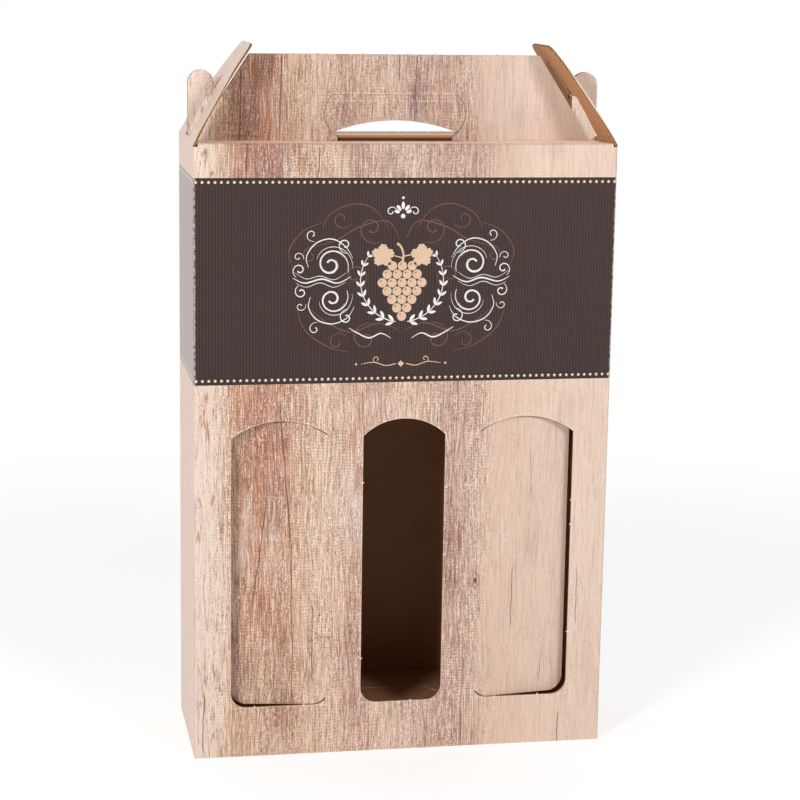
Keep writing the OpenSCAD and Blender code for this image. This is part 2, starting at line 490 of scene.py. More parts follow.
@dataclass(frozen=True)
class Planks:
    """The printed wood: planks of many tones with fibres, growth lines, cracks and a knot."""

    start: float = -230.0
    span: float = 710.0
    front_half: float = 124.0
    band_top: float = 345.5
    roof_fold: float = 365.0
    linen: float = 1.27
    saw: float = 1.9
    wander: Grain = Grain(0.02, 0.005, 3.1, 2.0)
    ripple: Grain = Grain(0.11, 0.03, 5.2, 2.0)
    ragged: Grain = Grain(0.3, 0.03, 99.0, 3.0, 0.7)
    cloud: Grain = Grain(0.05, 0.011, 7.0, 4.0, 0.62)
    fibre: Grain = Grain(1.1, 0.05, 17.0, 2.0, 0.8)
    tick: Grain = Grain(1.3, 0.45, 18.0, 1.0, 0.85)
    grit: Grain = Grain(1.5, 1.5, 16.0, 0.0)
    figure: Grain = Grain(0.08, 0.018, 21.0, 3.0, 0.6)
    growth: Grain = Grain(0.15, 0.011, 31.0, 3.0, 0.5)
    broken: Grain = Grain(0.6, 0.12, 37.0, 3.0, 0.75)
    warp: Grain = Grain(0.09, 0.05, 29.0, 2.0)
    sawn: Grain = Grain(0.06, 0.03, 30.0, 3.0)
    rough: Grain = Grain(0.7, 1.5, 28.0, 1.0, 0.75)
    strand: Grain = Grain(0.25, 0.02, 34.0, 2.0)
    crack_bend: Grain = Grain(0.04, 0.07, 41.0, 3.0)
    crack_gap: Grain = Grain(0.5, 0.1, 51.0, 3.0, 0.7)
    knot_edge: Grain = Grain(0.5, 0.4, 61.0)
    pores: Mark = Mark(Grain(0.9, 0.12, 19.0, 2.0, 0.75), 0.52, 0.7, (128, 90, 92))
    streaks: Mark = Mark(Grain(1.0, 0.012, 27.0, 2.0, 0.6), 0.56, 0.68, (132, 92, 88))
    bleached: Mark = Mark(Grain(0.9, 0.1, 33.0, 2.0, 0.75), 0.52, 0.72, (234, 216, 203))
    specks: Mark = Mark(Grain(1.3, 0.3, 38.0, 2.0, 0.6), 0.66, 0.76, (160, 110, 84))
    dark_cloud: Tone = (158, 114, 98)
    pale_cloud: Tone = (228, 206, 188)
    pale_fibre: Tone = (243, 226, 212)
    growth_line: Tone = (158, 106, 80)
    knot: tuple[float, float] = (44.4, 104.0)
    knot_rings: Tone = (158, 112, 90)
    knot_heart: Tone = (84, 55, 44)
    above_band: Shade = Shade(-112.0, 70.0, 30.0, 0.055)
    under_roof: Shade = Shade(-112.0, 60.0, 30.0, 0.04)
    shades: tuple[Shade, ...] = (
        Shade(-12.0, 50.0, 30.0, 0.025),
        Shade(-124.5, -108.0, 6.0, 0.045),
        Shade(58.0, 124.5, 10.0, 0.025),
    )
    tones: tuple[tuple[float, Tone], ...] = (
        (-219, (234, 210, 194)), (-150, (234, 207, 190)), (-128, (233, 207, 191)),
        (-113, (231, 208, 189)), (-107, (219, 188, 166)), (-100, (190, 140, 111)),
        (-84, (181, 128, 99)), (-72, (188, 138, 110)), (-62, (204, 164, 138)),
        (-48, (217, 186, 163)), (-38, (209, 174, 152)), (-28, (196, 155, 136)),
        (-14, (213, 181, 160)), (4, (216, 184, 163)), (24, (201, 162, 144)),
        (38, (203, 166, 147)), (52, (217, 186, 166)), (70, (222, 194, 174)),
        (100, (225, 199, 180)), (124, (224, 199, 181)), (170, (214, 182, 163)),
        (219, (224, 199, 181)), (262, (208, 171, 150)), (300, (189, 144, 119)),
        (335, (217, 186, 165)), (372, (200, 160, 140)), (410, (221, 193, 174)),
        (467, (226, 202, 186)),
    )
    cracks: tuple[Crack, ...] = (
        Crack(-66.8, 128.0, 219.0, 0.75, -0.08),
        Crack(-65.3, 30.0, 133.0, 0.5, -0.012),
        Crack(-89.2, 92.0, 160.0, 0.6, 0.125),
        Crack(67.6, 70.0, 113.0, 0.42, 0.01),
        Crack(107.4, 72.0, 112.0, 0.4),
        Crack(87.0, 34.0, 62.0, 0.3, 0.05),
        Crack(79.0, 150.0, 186.0, 0.25, -0.03),
        Crack(-119.6, 2.0, 44.0, 0.5, 0.03),
        Crack(-54.0, 44.0, 96.0, 0.5),
        Crack(38.0, 0.0, 26.0, 0.6, -0.03),
        Crack(98.0, -4.0, 22.0, 0.5),
        Crack(-69.4, 404.0, 462.0, 0.75, 0.03),
        Crack(-52.8, 344.0, 366.0, 0.6, 0.05),
        Crack(2.0, 440.0, 462.0, 0.6),
        Crack(11.5, 430.0, 462.0, 0.6, 0.04),
        Crack(-94.0, 346.0, 452.0, 0.7, 0.02),
        Crack(300.0, 60.0, 150.0, 0.7, 0.05),
        Crack(372.0, 130.0, 215.0, 0.6, -0.04),
    )
    stains: tuple[Stain, ...] = (
        Stain(-107.8, 136.0, 1.5, 12.0, (150, 98, 74), 0.8),
        Stain(-111.0, 81.0, 1.4, 6.0, (150, 94, 74), 0.8),
        Stain(-86.0, 190.0, 12.0, 40.0, (164, 102, 80), 0.55),
        Stain(-78.0, 150.0, 7.0, 34.0, (150, 112, 112), 0.5),
        Stain(-79.0, 112.0, 6.0, 30.0, (206, 160, 122), 0.7),
        Stain(-92.0, 60.0, 9.0, 40.0, (176, 124, 96), 0.45),
        Stain(-30.0, 150.0, 4.0, 40.0, (158, 122, 122), 0.5),
        Stain(-31.0, 70.0, 3.5, 45.0, (170, 122, 108), 0.6),
        Stain(28.0, 120.0, 5.0, 70.0, (176, 132, 118), 0.5),
        Stain(12.0, 432.0, 7.0, 16.0, (146, 112, 112), 0.7),
        Stain(-92.0, 430.0, 16.0, 40.0, (188, 136, 112), 0.5),
        Stain(-80.0, 356.0, 20.0, 16.0, (162, 110, 98), 0.55),
        Stain(-10.0, 352.0, 10.0, 14.0, (164, 124, 112), 0.5),
        Stain(-86.0, 130.0, 13.0, 80.0, (186, 130, 100), 0.4),
        Stain(-84.0, 42.0, 20.0, 46.0, (212, 178, 152), 0.6),
        Stain(-84.0, 4.0, 30.0, 22.0, (212, 180, 156), 0.6),
        Stain(-105.5, 425.0, 8.0, 70.0, (216, 180, 148), 0.8),
        Stain(84.0, 425.0, 40.0, 70.0, (228, 206, 191), 0.85),
        Stain(-116.0, 425.0, 10.0, 70.0, (234, 214, 197), 0.9),
    )

    def colour(self, g: Graph, u: Value, v: Value) -> Tint:
        """Paints the wood print.

        Args:
            g: The material's graph.
            u: The place across the sheet.
            v: The place along the grain.

        Returns:
            The wood's colour.
        """
        wander = (self.wander.at(g, u, v) - 0.5) * 12.0
        ripple = (self.ripple.at(g, u, v) - 0.5) * 3.0
        grain = u + wander + ripple
        stops = [((place - self.start) / self.span, srgb(*tone)) for place, tone in self.tones]
        wood = g.ramp((grain - self.start) * (1 / self.span), stops)
        light = Value(g, g.add("ShaderNodeRGBToBW", None, {0: wood}).outputs[0])
        power = light.rise(0.66, 0.38)
        ragged = (self.ragged.at(g, u, v) - 0.5) * 1.6
        for stain in self.stains:
            wood = stain.over(wood, u, v, ragged)
        cloud = self.cloud.at(g, grain, v)
        wood = wood.under(srgb(*self.dark_cloud), cloud.rise(0.5, 0.7) * (0.1 + power * 0.55))
        wood = wood.under(srgb(*self.pale_cloud), cloud.rise(0.47, 0.3) * 0.5)
        calm = u.within(50.0, 280.0, 14.0).most(u.rise(-110.0, -116.0) * 0.6).most(
            u.rise(-122.0, -127.0))
        lively = 1.25 - calm * 0.95
        wood = self.fibres(g, wood, (grain, v), power, lively)
        wood = self.lines(g, wood, (u, v), power, lively)
        wood = self.splits(g, wood, u, v)
        dim = v.rise(self.band_top - 0.5, self.band_top + 1.5) * self.above_band.over(u)
        dim = dim + v.within(self.band_top, self.roof_fold, 1.0) * self.under_roof.over(u)
        for shade in self.shades:
            dim = dim + shade.over(u)
        return self.knotted(g, wood.scaled(1.0 - dim), u, v)

    def fibres(self, g: Graph, wood: Tint, place: tuple[Value, Value], power: Value,
               lively: Value) -> Tint:
        """Lays the fine fibres and pores over the planks.

        Args:
            g: The material's graph.
            wood: The planks' colour so far.
            place: The wandering place across the grain, and the place along it.
            power: 1 where the planks are dark and 0 where they are pale.
            lively: How strong the figure is.

        Returns:
            The colour with fibres.
        """
        fibre = self.fibre.at(g, *place) - 0.5
        tick = self.tick.at(g, *place) - 0.5
        grit = self.grit.at(g, *place) - 0.5
        figure = self.figure.at(g, *place)
        busy = figure.rise(0.35, 0.62) * 0.8 + 0.5
        mark = (fibre * 1.9 + (tick * 1.1 + grit * 0.5) * busy) * lively
        wood = wood.scaled(1.0 + mark.least(0.03))
        wood = wood.under(srgb(*self.pale_fibre), (mark * 1.8).held() * 0.8)
        wood = self.pores.over(g, wood, place, figure.rise(0.4, 0.6) * lively * (0.2 + 0.42 * power))
        wood = self.streaks.over(g, wood, place, 0.12 + 0.45 * power)
        return self.bleached.over(g, wood, place, lively * 0.4)

    def lines(self, g: Graph, wood: Tint, place: tuple[Value, Value], power: Value,
              lively: Value) -> Tint:
        """Lays the wavy growth lines, the saw's marks and the linen of the print over the planks.

        Args:
            g: The material's graph.
            wood: The planks' colour so far.
            place: The place across and along the sheet.
            power: 1 where the planks are dark and 0 where they are pale.
            lively: How strong the figure is.

        Returns:
            The colour with lines.
        """
        u, v = place
        flow = (self.growth.at(g, u, v) * 6.0).fract()
        broken = self.broken.at(g, u, v).rise(0.36, 0.54)
        veined = 0.25 + 0.75 * u.within(-self.front_half, 50.0, 16.0)
        wood = wood.under(srgb(*self.growth_line), abs(flow - 0.5).rise(0.1, 0.02) * broken
                          * veined * (0.8 - power * 0.45))
        wood = self.specks.over(g, wood, place, lively * 0.45)
        warp = (self.warp.at(g, u, v) - 0.5) * 5.0
        weft = (v + warp * 0.5).wave(self.linen)
        warps = (u + warp * 0.3).wave(self.linen)
        ridge = (v + warp).wave(self.saw)
        sawn = self.sawn.at(g, u, v).rise(0.42, 0.62)
        rough = self.rough.at(g, u, v) - 0.5
        strand = self.strand.at(g, u, v).rise(0.35, 0.65)
        mark = (weft * 0.02 + ridge * 0.1 + rough * 0.34) * sawn + warps * (0.01 + strand * 0.04)
        return wood.scaled(1.0 + mark * lively * (0.6 + 0.4 * power))

    def splits(self, g: Graph, wood: Tint, u: Value, v: Value) -> Tint:
        """Opens the long drying cracks in the planks.

        Args:
            g: The material's graph.
            wood: The planks' colour so far.
            u: The place across the sheet.
            v: The place along the grain.

        Returns:
            The colour with the cracks.
        """
        bent = u - (self.crack_bend.at(g, u, v) - 0.5) * 2.4
        gap = self.crack_gap.at(g, u, v).rise(0.2, 0.42)
        for crack in self.cracks:
            wood = crack.over(wood, bent, v, gap)
        return wood

    def knotted(self, g: Graph, wood: Tint, u: Value, v: Value) -> Tint:
        """Paints the small knot with its rings.

        Args:
            g: The material's graph.
            wood: The planks' colour so far.
            u: The place across the sheet.
            v: The place along the grain.

        Returns:
            The colour with the knot.
        """
        across, along = u - self.knot[0], (v - self.knot[1]) * 0.6
        ring = across.reach(along) + (self.knot_edge.at(g, u, v) - 0.5) * 2.0
        rings = (ring * 3.0).sine() * 0.2 + 0.4
        wood = wood.under(srgb(*self.knot_rings), ring.rise(5.5, 2.0) * rings)
        return wood.under(srgb(*self.knot_heart), ring.rise(1.5, 0.6) * 0.85)


@dataclass(frozen=True)
class ArchedWindow:
    """A window's outline as the die cut it, from the front's middle outwards."""

    middle: float
    half: float
    fold: float
    sill: float = 30.4
    spring: float = 194.2
    arch_rise: float = 10.0

    def edge(self, out: Value, v: Value) -> Value:
        """Measures how far a place lies outside the cut.

        Args:
            out: The place from the front's middle, on either side.
            v: The height.

        Returns:
            The distance, negative inside the window.
        """
        radius = (self.half ** 2 + self.arch_rise ** 2) / (2 * self.arch_rise)
        across = out - self.middle
        along = (v - (self.spring + self.arch_rise - radius)).most(0.0)
        return (across.reach(along) - radius).most(across - self.half).most(self.sill - v)


@dataclass(frozen=True)
class DieMarks:
    """What the die left on the print: pale burrs and nicks, and the scores of the hand hole."""

    windows: tuple[ArchedWindow, ...] = (
        ArchedWindow(0.0, 24.6, 0.0), ArchedWindow(73.0, 29.5, 45.5))
    grip_across: float = 28.2
    grip_along: float = 424.25
    grip_r: float = 14.3
    grip_end: float = 37.0
    grip_fold: float = 435.3
    grip_score: float = 431.6
    nicked: Grain = Grain(0.3, 0.3, 84.0, 2.0, 0.5)
    dashed: Grain = Grain(0.5, 0.1, 86.0, 2.0, 0.6)
    burr: Tone = (232, 212, 194)
    cut: Tone = (140, 104, 78)
    score: Tone = (150, 112, 84)
    fold_line: Tone = (236, 212, 190)

    def over(self, g: Graph, wood: Tint, u: Value, v: Value) -> Tint:
        """Lays the marks over the print.

        Args:
            g: The material's graph.
            wood: The planks' colour so far.
            u: The place across the sheet.
            v: The place along the grain.

        Returns:
            The colour with the marks of the die.
        """
        out = abs(u)
        nick = self.nicked.at(g, u, v).rise(0.6, 0.64)
        for window in self.windows:
            edge = window.edge(out, v)
            there = edge.rise(-0.15, -0.05) * out.rise(window.fold - 1.5, window.fold)
            burr = (edge.rise(0.45, 0.15) * 0.6 + edge.rise(1.3, 0.7) * nick * 0.9).held()
            wood = wood.under(srgb(*self.burr), there * burr)
        rim = abs((out - self.grip_across).reach(v - self.grip_along) - self.grip_r)
        ends = out.rise(self.grip_end - 1.0, self.grip_end) * v.within(
            self.grip_along - self.grip_r, self.grip_fold + 0.5, 0.5)
        wood = wood.under(srgb(*self.cut), rim.rise(0.45, 0.15) * ends * 0.8)
        dash = self.dashed.at(g, u, v)
        between = out.rise(self.grip_end + 0.5, self.grip_end)
        fold = v.within(self.grip_fold - 0.25, self.grip_fold + 0.25, 0.3)
        wood = wood.under(srgb(*self.score), fold * between * dash.rise(0.4, 0.6) * 0.75)
        pale = v.within(self.grip_fold + 0.5, self.grip_fold + 1.2, 0.4).most(
            v.within(self.grip_score - 0.3, self.grip_score + 0.3, 0.4))
        return wood.under(srgb(*self.fold_line), pale * between * dash.rise(0.62, 0.44) * 0.6)


@dataclass(frozen=True)
class Band:
    """The dark woven band round the carton, with a row of small stars along each edge."""

    low: float = 226.0
    high: float = 345.5
    thread: float = 1.8
    star_pitch: float = 3.66
    star_inset: float = 2.5
    star_r: float = 0.72
    star_points: float = 5.0
    star_depth: float = 0.26
    border: float = 4.25
    slub: Grain = Grain(3.7, 0.12, 71.0, 2.0)
    cloud: Grain = Grain(0.05, 0.05, 72.0, 3.0)
    furrow: Tone = (43, 31, 28)
    ridge: Tone = (67, 46, 41)
    plain: Tone = (49, 35, 31)
    star: Tone = (240, 214, 188)
    rule: Tone = (30, 20, 18)

    def colour(self, g: Graph, u: Value, v: Value) -> Tint:
        """Paints the band's weave and its stars.

        Args:
            g: The material's graph.
            u: The place across the sheet.
            v: The height.

        Returns:
            The band's colour.
        """
        column, row = u * (1 / self.thread), v * (1 / self.thread)
        rib = abs(column.fract() - 0.5).rise(0.45, 0.12)
        dash = abs(row.fract() - 0.5).rise(0.48, 0.15)
        slub = self.slub.at(g, column.floor(), v)
        cloud = self.cloud.at(g, u, v)
        dark = g.ramp(rib * (0.45 + dash * 0.55), [(0.0, srgb(*self.furrow)), (1.0, srgb(*self.ridge))])
        dark = dark.scaled((0.8 + slub * 0.4) * (0.85 + cloud * 0.3))
        bottom, top = self.low + self.border, self.high - self.border
        plain = v.rise(bottom + 0.3, bottom).most(v.rise(top - 0.3, top))
        dark = dark.under(srgb(*self.plain), plain)
        for place in (self.low + self.star_inset, self.high - self.star_inset):
            run = ((u * (1 / self.star_pitch)).fract() - 0.5) * self.star_pitch
            rise = v - place
            reach = run.reach(rise)
            edge = (run.turn(rise) * self.star_points).cosine() * self.star_depth + self.star_r
            dark = dark.under(srgb(*self.star), (edge - reach).rise(-0.06, 0.06))
        return dark.under(srgb(*self.rule), abs(v - self.high + 0.3).rise(0.5, 0.2) * 0.8)


@dataclass(frozen=True)
class PrintedBoard:
    """The varnished outside: the wood print with its band, flaked a little at the folds, with painted
    shade at the handle's fold.
    """

    planks: Planks = Planks()
    die: DieMarks = DieMarks()
    band: Band = Band()
    flute: float = FLUTE
    folds: tuple[float, ...] = (-219.0, -124.0, 124.0, 219.0)
    handle_fold: float = 410.0
    lip_half: float = 38.0
    flakes: Grain = Grain(1.1, 0.4, 81.0, 3.0, 0.75)
    nap: Grain = Grain(0.9, 0.9, 91.0, 4.0, 0.6)
    swell: Grain = Grain(0.03, 0.03, 93.0, 2.0)
    flaked: Tone = (214, 200, 190)
    fold_line: Tone = (182, 138, 108)
    sheen: Tone = (255, 212, 196)

    def worn_and_shaded(self, g: Graph, colour: Tint, place: tuple[Value, Value], inside: Value) -> Tint:
        """Flakes the print at the upright folds, darkens the handle's fold and paints a shadow under
        the hole.

        Args:
            g: The material's graph.
            colour: The print's colour.
            place: The place across and along the sheet.
            inside: 1 on the band and 0 on the planks.

        Returns:
            The worn colour.
        """
        # The colour with its flakes, fold line and painted shade.
        u, v = place
        near = abs(u - self.folds[0])
        for fold in self.folds[1:]:
            near = near.least(abs(u - fold))
        flakes = self.flakes.at(g, u, v).rise(0.45, 0.53)
        colour = colour.under(srgb(*self.flaked),
                              near.rise(1.4, 0.6) * flakes * (0.15 + inside * 0.6))
        out = abs(u)
        on_flap = out.within(self.folds[2] + 0.5, self.folds[3] - 0.5, 1.0)
        # a darker tan line along the handle's fold, on the roof and the handle plates but not on the
        # side flaps
        fold_line = v.within(self.handle_fold - 2.2, self.handle_fold + 0.3, 1.2) * (1.0 - on_flap)
        colour = colour.under(srgb(*self.fold_line), fold_line * 0.6)
        # painted shadow: the print is painted darker under the hand hole, on the roof next to the
        # handle's fold
        gap = v.within(self.handle_fold - 7.0, self.handle_fold + 0.3, 3.0)
        hole_end = self.die.grip_across + self.die.grip_r
        return colour.scaled(1.0 - gap * out.rise(hole_end, self.lip_half) * 0.7)

    def material(self) -> bpy.types.Material:
        """Builds the finish.

        Returns:
            The material.
        """
        g = Graph(bpy.data.materials.new("printed_board"))
        u, v = g.sheet()
        inside = v.within(self.band.low, self.band.high, 0.25)
        colour = self.die.over(g, self.planks.colour(g, u, v), u, v).under(
            self.band.colour(g, u, v), inside)
        colour = self.worn_and_shaded(g, colour, (u, v), inside)
        wash = v.wave(self.flute)
        nap = self.nap.at(g, u, v)
        height = wash * 0.12 + nap * 0.5 + self.swell.at(g, u, v) * 3.0
        return g.surface({
            "Base Color": colour, "Roughness": 0.42 + (nap - 0.5) * 0.12,
            "IOR": 1.4, "Specular IOR Level": 0.2, "Coat Weight": 0.15 + inside * 0.6,
            "Coat Roughness": 0.2, "Coat IOR": 1.3, "Sheen Weight": 0.4, "Sheen Roughness": 0.35,
            "Sheen Tint": srgb(*self.sheen), "Normal": g.bump(height, 0.00008, 0.25)})


@dataclass(frozen=True)
class KraftBoard:
    """The raw brown inside, with long fibres and the flutes showing through as faint ribs, and painted
    shade inside the box and under the hand hole.
    """

    flute: float = FLUTE
    tone: Colour = srgb(197, 147, 106)
    fibre_dark: Colour = srgb(150, 104, 66)
    fibre_pale: Colour = srgb(226, 184, 142)
    speck: Colour = srgb(116, 76, 46)
    lip_tone: Colour = srgb(196, 132, 70)
    rim_tone: Colour = srgb(226, 208, 196)
    # the redder, darker kraft of the painted shade inside the box
    inner: Colour = srgb(154, 92, 68)
    cloud: Grain = Grain(0.06, 0.06, 1.0, 4.0)
    fibres: Grain = Grain(0.45, 2.4, 5.0, 4.0, 0.65)
    across: Grain = Grain(2.1, 0.5, 9.0, 3.0, 0.65)
    specks: Grain = Grain(1.6, 1.6, 13.0, 2.0)
    lip_mid: float = 343.0
    lip_half: float = 42.0
    lip_low: float = 408.5
    lip_high: float = 413.0
    rim: float = 0.3
    roof_z: float = 365.0

    def lip(self, tone: Tint, u: Value, v: Value) -> Tint:
        """Colours the strip under the hand hole golden with its pale rim, and paints shade darkening it
        into the fold.

        Args:
            tone: The board's colour so far.
            u: The place across the sheet.
            v: The place along it.

        Returns:
            The shaded colour.
        """
        lip = abs(u - self.lip_mid).rise(self.lip_half, self.lip_half - 1.0) * v.within(
            self.lip_low - 0.5, self.lip_high + 0.3, 0.2)
        rim = self.lip_high - self.rim
        tone = tone.under(self.lip_tone, lip * 0.8)
        # painted shade: the lip is painted darker down towards the fold
        tone = tone.scaled(1.0 - lip * v.rise(self.lip_high - 0.7, self.lip_low + 2.2) * 0.95)
        return tone.under(self.rim_tone, lip * v.rise(rim - 0.15, rim + 0.15) * 0.9)

    def material(self) -> bpy.types.Material:
        """Builds the finish.

        Returns:
            The material.
        """
        g = Graph(bpy.data.materials.new("kraft_board"))
        u, v = g.sheet()
        cloud = self.cloud.at(g, u, v)
        fibres = self.fibres.at(g, u, v)
        across = self.across.at(g, u, v)
        specks = self.specks.at(g, u, v)
        clouded = g.ramp(cloud, [(0.3, self.fibre_dark), (0.42, self.tone), (0.7, self.tone)])
        tone = g.plain(self.tone).under(clouded, 0.3)
        tone = tone.under(self.fibre_dark, fibres.rise(0.55, 0.75) * 0.5)
        tone = tone.under(self.fibre_pale, across.rise(0.56, 0.76) * 0.45)
        tone = tone.under(self.speck, specks.rise(0.68, 0.74) * 0.6)
        wash = v.wave(self.flute)
        tone = self.lip(tone.scaled(1.0 + wash * 0.012), u, v)
        # painted shade: inside the box, below the roof, the kraft is painted redder and darker
        place = g.add("ShaderNodeTexCoord").outputs["Object"]
        height = Value(g, g.add("ShaderNodeSeparateXYZ", None, {0: place}).outputs[2])
        within = height.rise(self.roof_z * MM, (self.roof_z - 2.0) * MM)
        tone = tone.under(self.inner, within * 0.22).scaled(1.0 - within * 0.17)
        relief = wash * 0.18 + fibres * 0.5 + across * 0.3
        return g.surface({
            "Base Color": tone, "Roughness": 0.86 + (fibres - 0.5) * 0.15,
            "Specular IOR Level": 0.25, "Normal": g.bump(relief, 0.0001, 0.7)})


@dataclass(frozen=True)
class CutEdge:
    """The sheared edge of the board: two liners with the fluted sheet waving between them."""

    board: float = BOARD
    liner: float = 0.24
    flute: float = FLUTE
    medium: float = 0.15
    fibre: Grain = Grain(4.0, 2.2, 3.0, 3.0, 0.65)
    dark: Colour = srgb(163, 112, 66)
    pale: Colour = srgb(208, 160, 108)
    # the dark of the painted shade in the empty spaces of the flutes
    hollow_shade: Colour = srgb(78, 48, 28)
    white_liner: Colour = srgb(226, 204, 186)

    def material(self) -> bpy.types.Material:
        """Builds the finish.

        Returns:
            The material.
        """
        g = Graph(bpy.data.materials.new("cut_edge"))
        depth, run = g.sheet()
        half = self.board / 2
        swing = half - self.liner
        wave = half + swing * run.wave(self.flute)
        paper = abs(depth - wave).rise(self.medium * 2.0, self.medium)
        liners = abs(depth - half).rise(swing - 0.05, swing + 0.05)
        solid = paper.most(liners)
        fibre = self.fibre.at(g, depth, run)
        tone = g.ramp(fibre, [(0.3, self.dark), (0.7, self.pale)])
        # painted shade: dark where the flutes leave empty space between the papers
        tone = tone.under(self.hollow_shade, (1.0 - solid) * 0.8)
        tone = tone.under(self.white_liner, depth.rise(self.liner + 0.2, self.liner) * 0.85)
        return g.surface({
            "Base Color": tone, "Roughness": 0.9, "Specular IOR Level": 0.15,
            "Normal": g.bump(solid + fibre * 0.3, 0.00025, 0.8)})


def put(name: str, mesh: bmesh.types.BMesh,
        materials: list[bpy.types.Material]) -> bpy.types.Object:
    """Turns a finished mesh into an object in the scene.

    Args:
        name: The object's name.
        mesh: The mesh, which is used up.
        materials: Its finishes in order.

    Returns:
        The object, at the origin.
    """
    data = bpy.data.meshes.new(name)
    mesh.to_mesh(data)
    mesh.free()
    for material in materials:
        data.materials.append(material)
    piece = bpy.data.objects.new(name, data)
    bpy.context.scene.collection.objects.link(piece)
    log.info("%s: %d faces", name, len(data.polygons))
    return piece


Patch = tuple[Finish, Callable[[Vector], tuple[float, float]]]


@dataclass
class BoardPiece:
    """A piece of the folded sheet: a merged copy of a CAD node with its sheet coordinates."""

    node: str
    materials: list[bpy.types.Material] = field(default_factory=list)
    half_w: float = 124.0
    half_d: float = 47.5
    board: float = BOARD
    roof_z: float = 365.0
    fold_run: float = 2.51
    merge: float = 0.002
    sharp: float = math.radians(32)
    flat_turn: float = math.radians(0.2)
    same_plane: float = math.radians(0.05)
    strip_area: float = 900.0

    @property
    def fold_z(self) -> float:
        """Returns the height at which the fold to the roof starts."""
        return self.roof_z - self.board

    @property
    def side_sheet(self) -> float:
        """Returns the sheet's length at the top of the side panels."""
        return self.fold_z + self.fold_run

    def patch(self, centre: Vector, normal: Vector) -> Patch:
        """Says what a face shows and how it lies on the sheet; each kind of piece has its own."""
        raise NotImplementedError

    def detail(self, mesh: bmesh.types.BMesh) -> None:
        """Adds what the copy needs beyond the CAD node's shape."""

    def settle(self, mesh: bmesh.types.BMesh) -> None:
        """Bends the copy as the board gives, after its print is laid on."""

    def is_curved(self, face: bmesh.types.BMFace) -> bool:
        """Says whether a face is one strip of a rounded fold or corner, and not a flat panel.

        Args:
            face: The face.

        Returns:
            Whether it is shaded smooth.
        """
        if face.calc_area() > self.strip_area * MM * MM:
            return False
        return any(self.flat_turn < edge.calc_face_angle(0.0) < self.sharp for edge in face.edges)

    def build(self) -> bpy.types.Object:
        """Builds the dressed piece and hands it to the frame.

        Returns:
            The piece's object.
        """
        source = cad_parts[self.node]
        mesh = bmesh.new()
        mesh.from_mesh(source.data)
        bmesh.ops.remove_doubles(mesh, verts=mesh.verts, dist=self.merge * MM)
        bmesh.ops.dissolve_degenerate(mesh, edges=mesh.edges, dist=self.merge * MM)
        bmesh.ops.dissolve_limit(mesh, angle_limit=self.same_plane, verts=mesh.verts,
                                 edges=mesh.edges, delimit={"NORMAL"})
        self.detail(mesh)
        layer = mesh.loops.layers.uv.new(SHEET)
        curved = [self.is_curved(face) for face in mesh.faces]
        for face in mesh.faces:
            finish, place = self.patch(face.calc_center_median() / MM, face.normal)
            face.material_index = finish.value
            for loop in face.loops:
                across, along = place(loop.vert.co / MM)
                loop[layer].uv = (across / SHEET_UNIT, along / SHEET_UNIT)
        self.settle(mesh)
        curved += [False] * (len(mesh.faces) - len(curved))
        piece = put(self.node + "_board", mesh, self.materials)
        for other in list(piece.data.uv_layers):
            if other.name != SHEET:
                piece.data.uv_layers.remove(other)
        piece.data.set_sharp_from_angle(angle=self.sharp)
        piece.data.polygons.foreach_set("use_smooth", curved)
        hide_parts(self.node)
        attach(piece, self.node)
        return piece


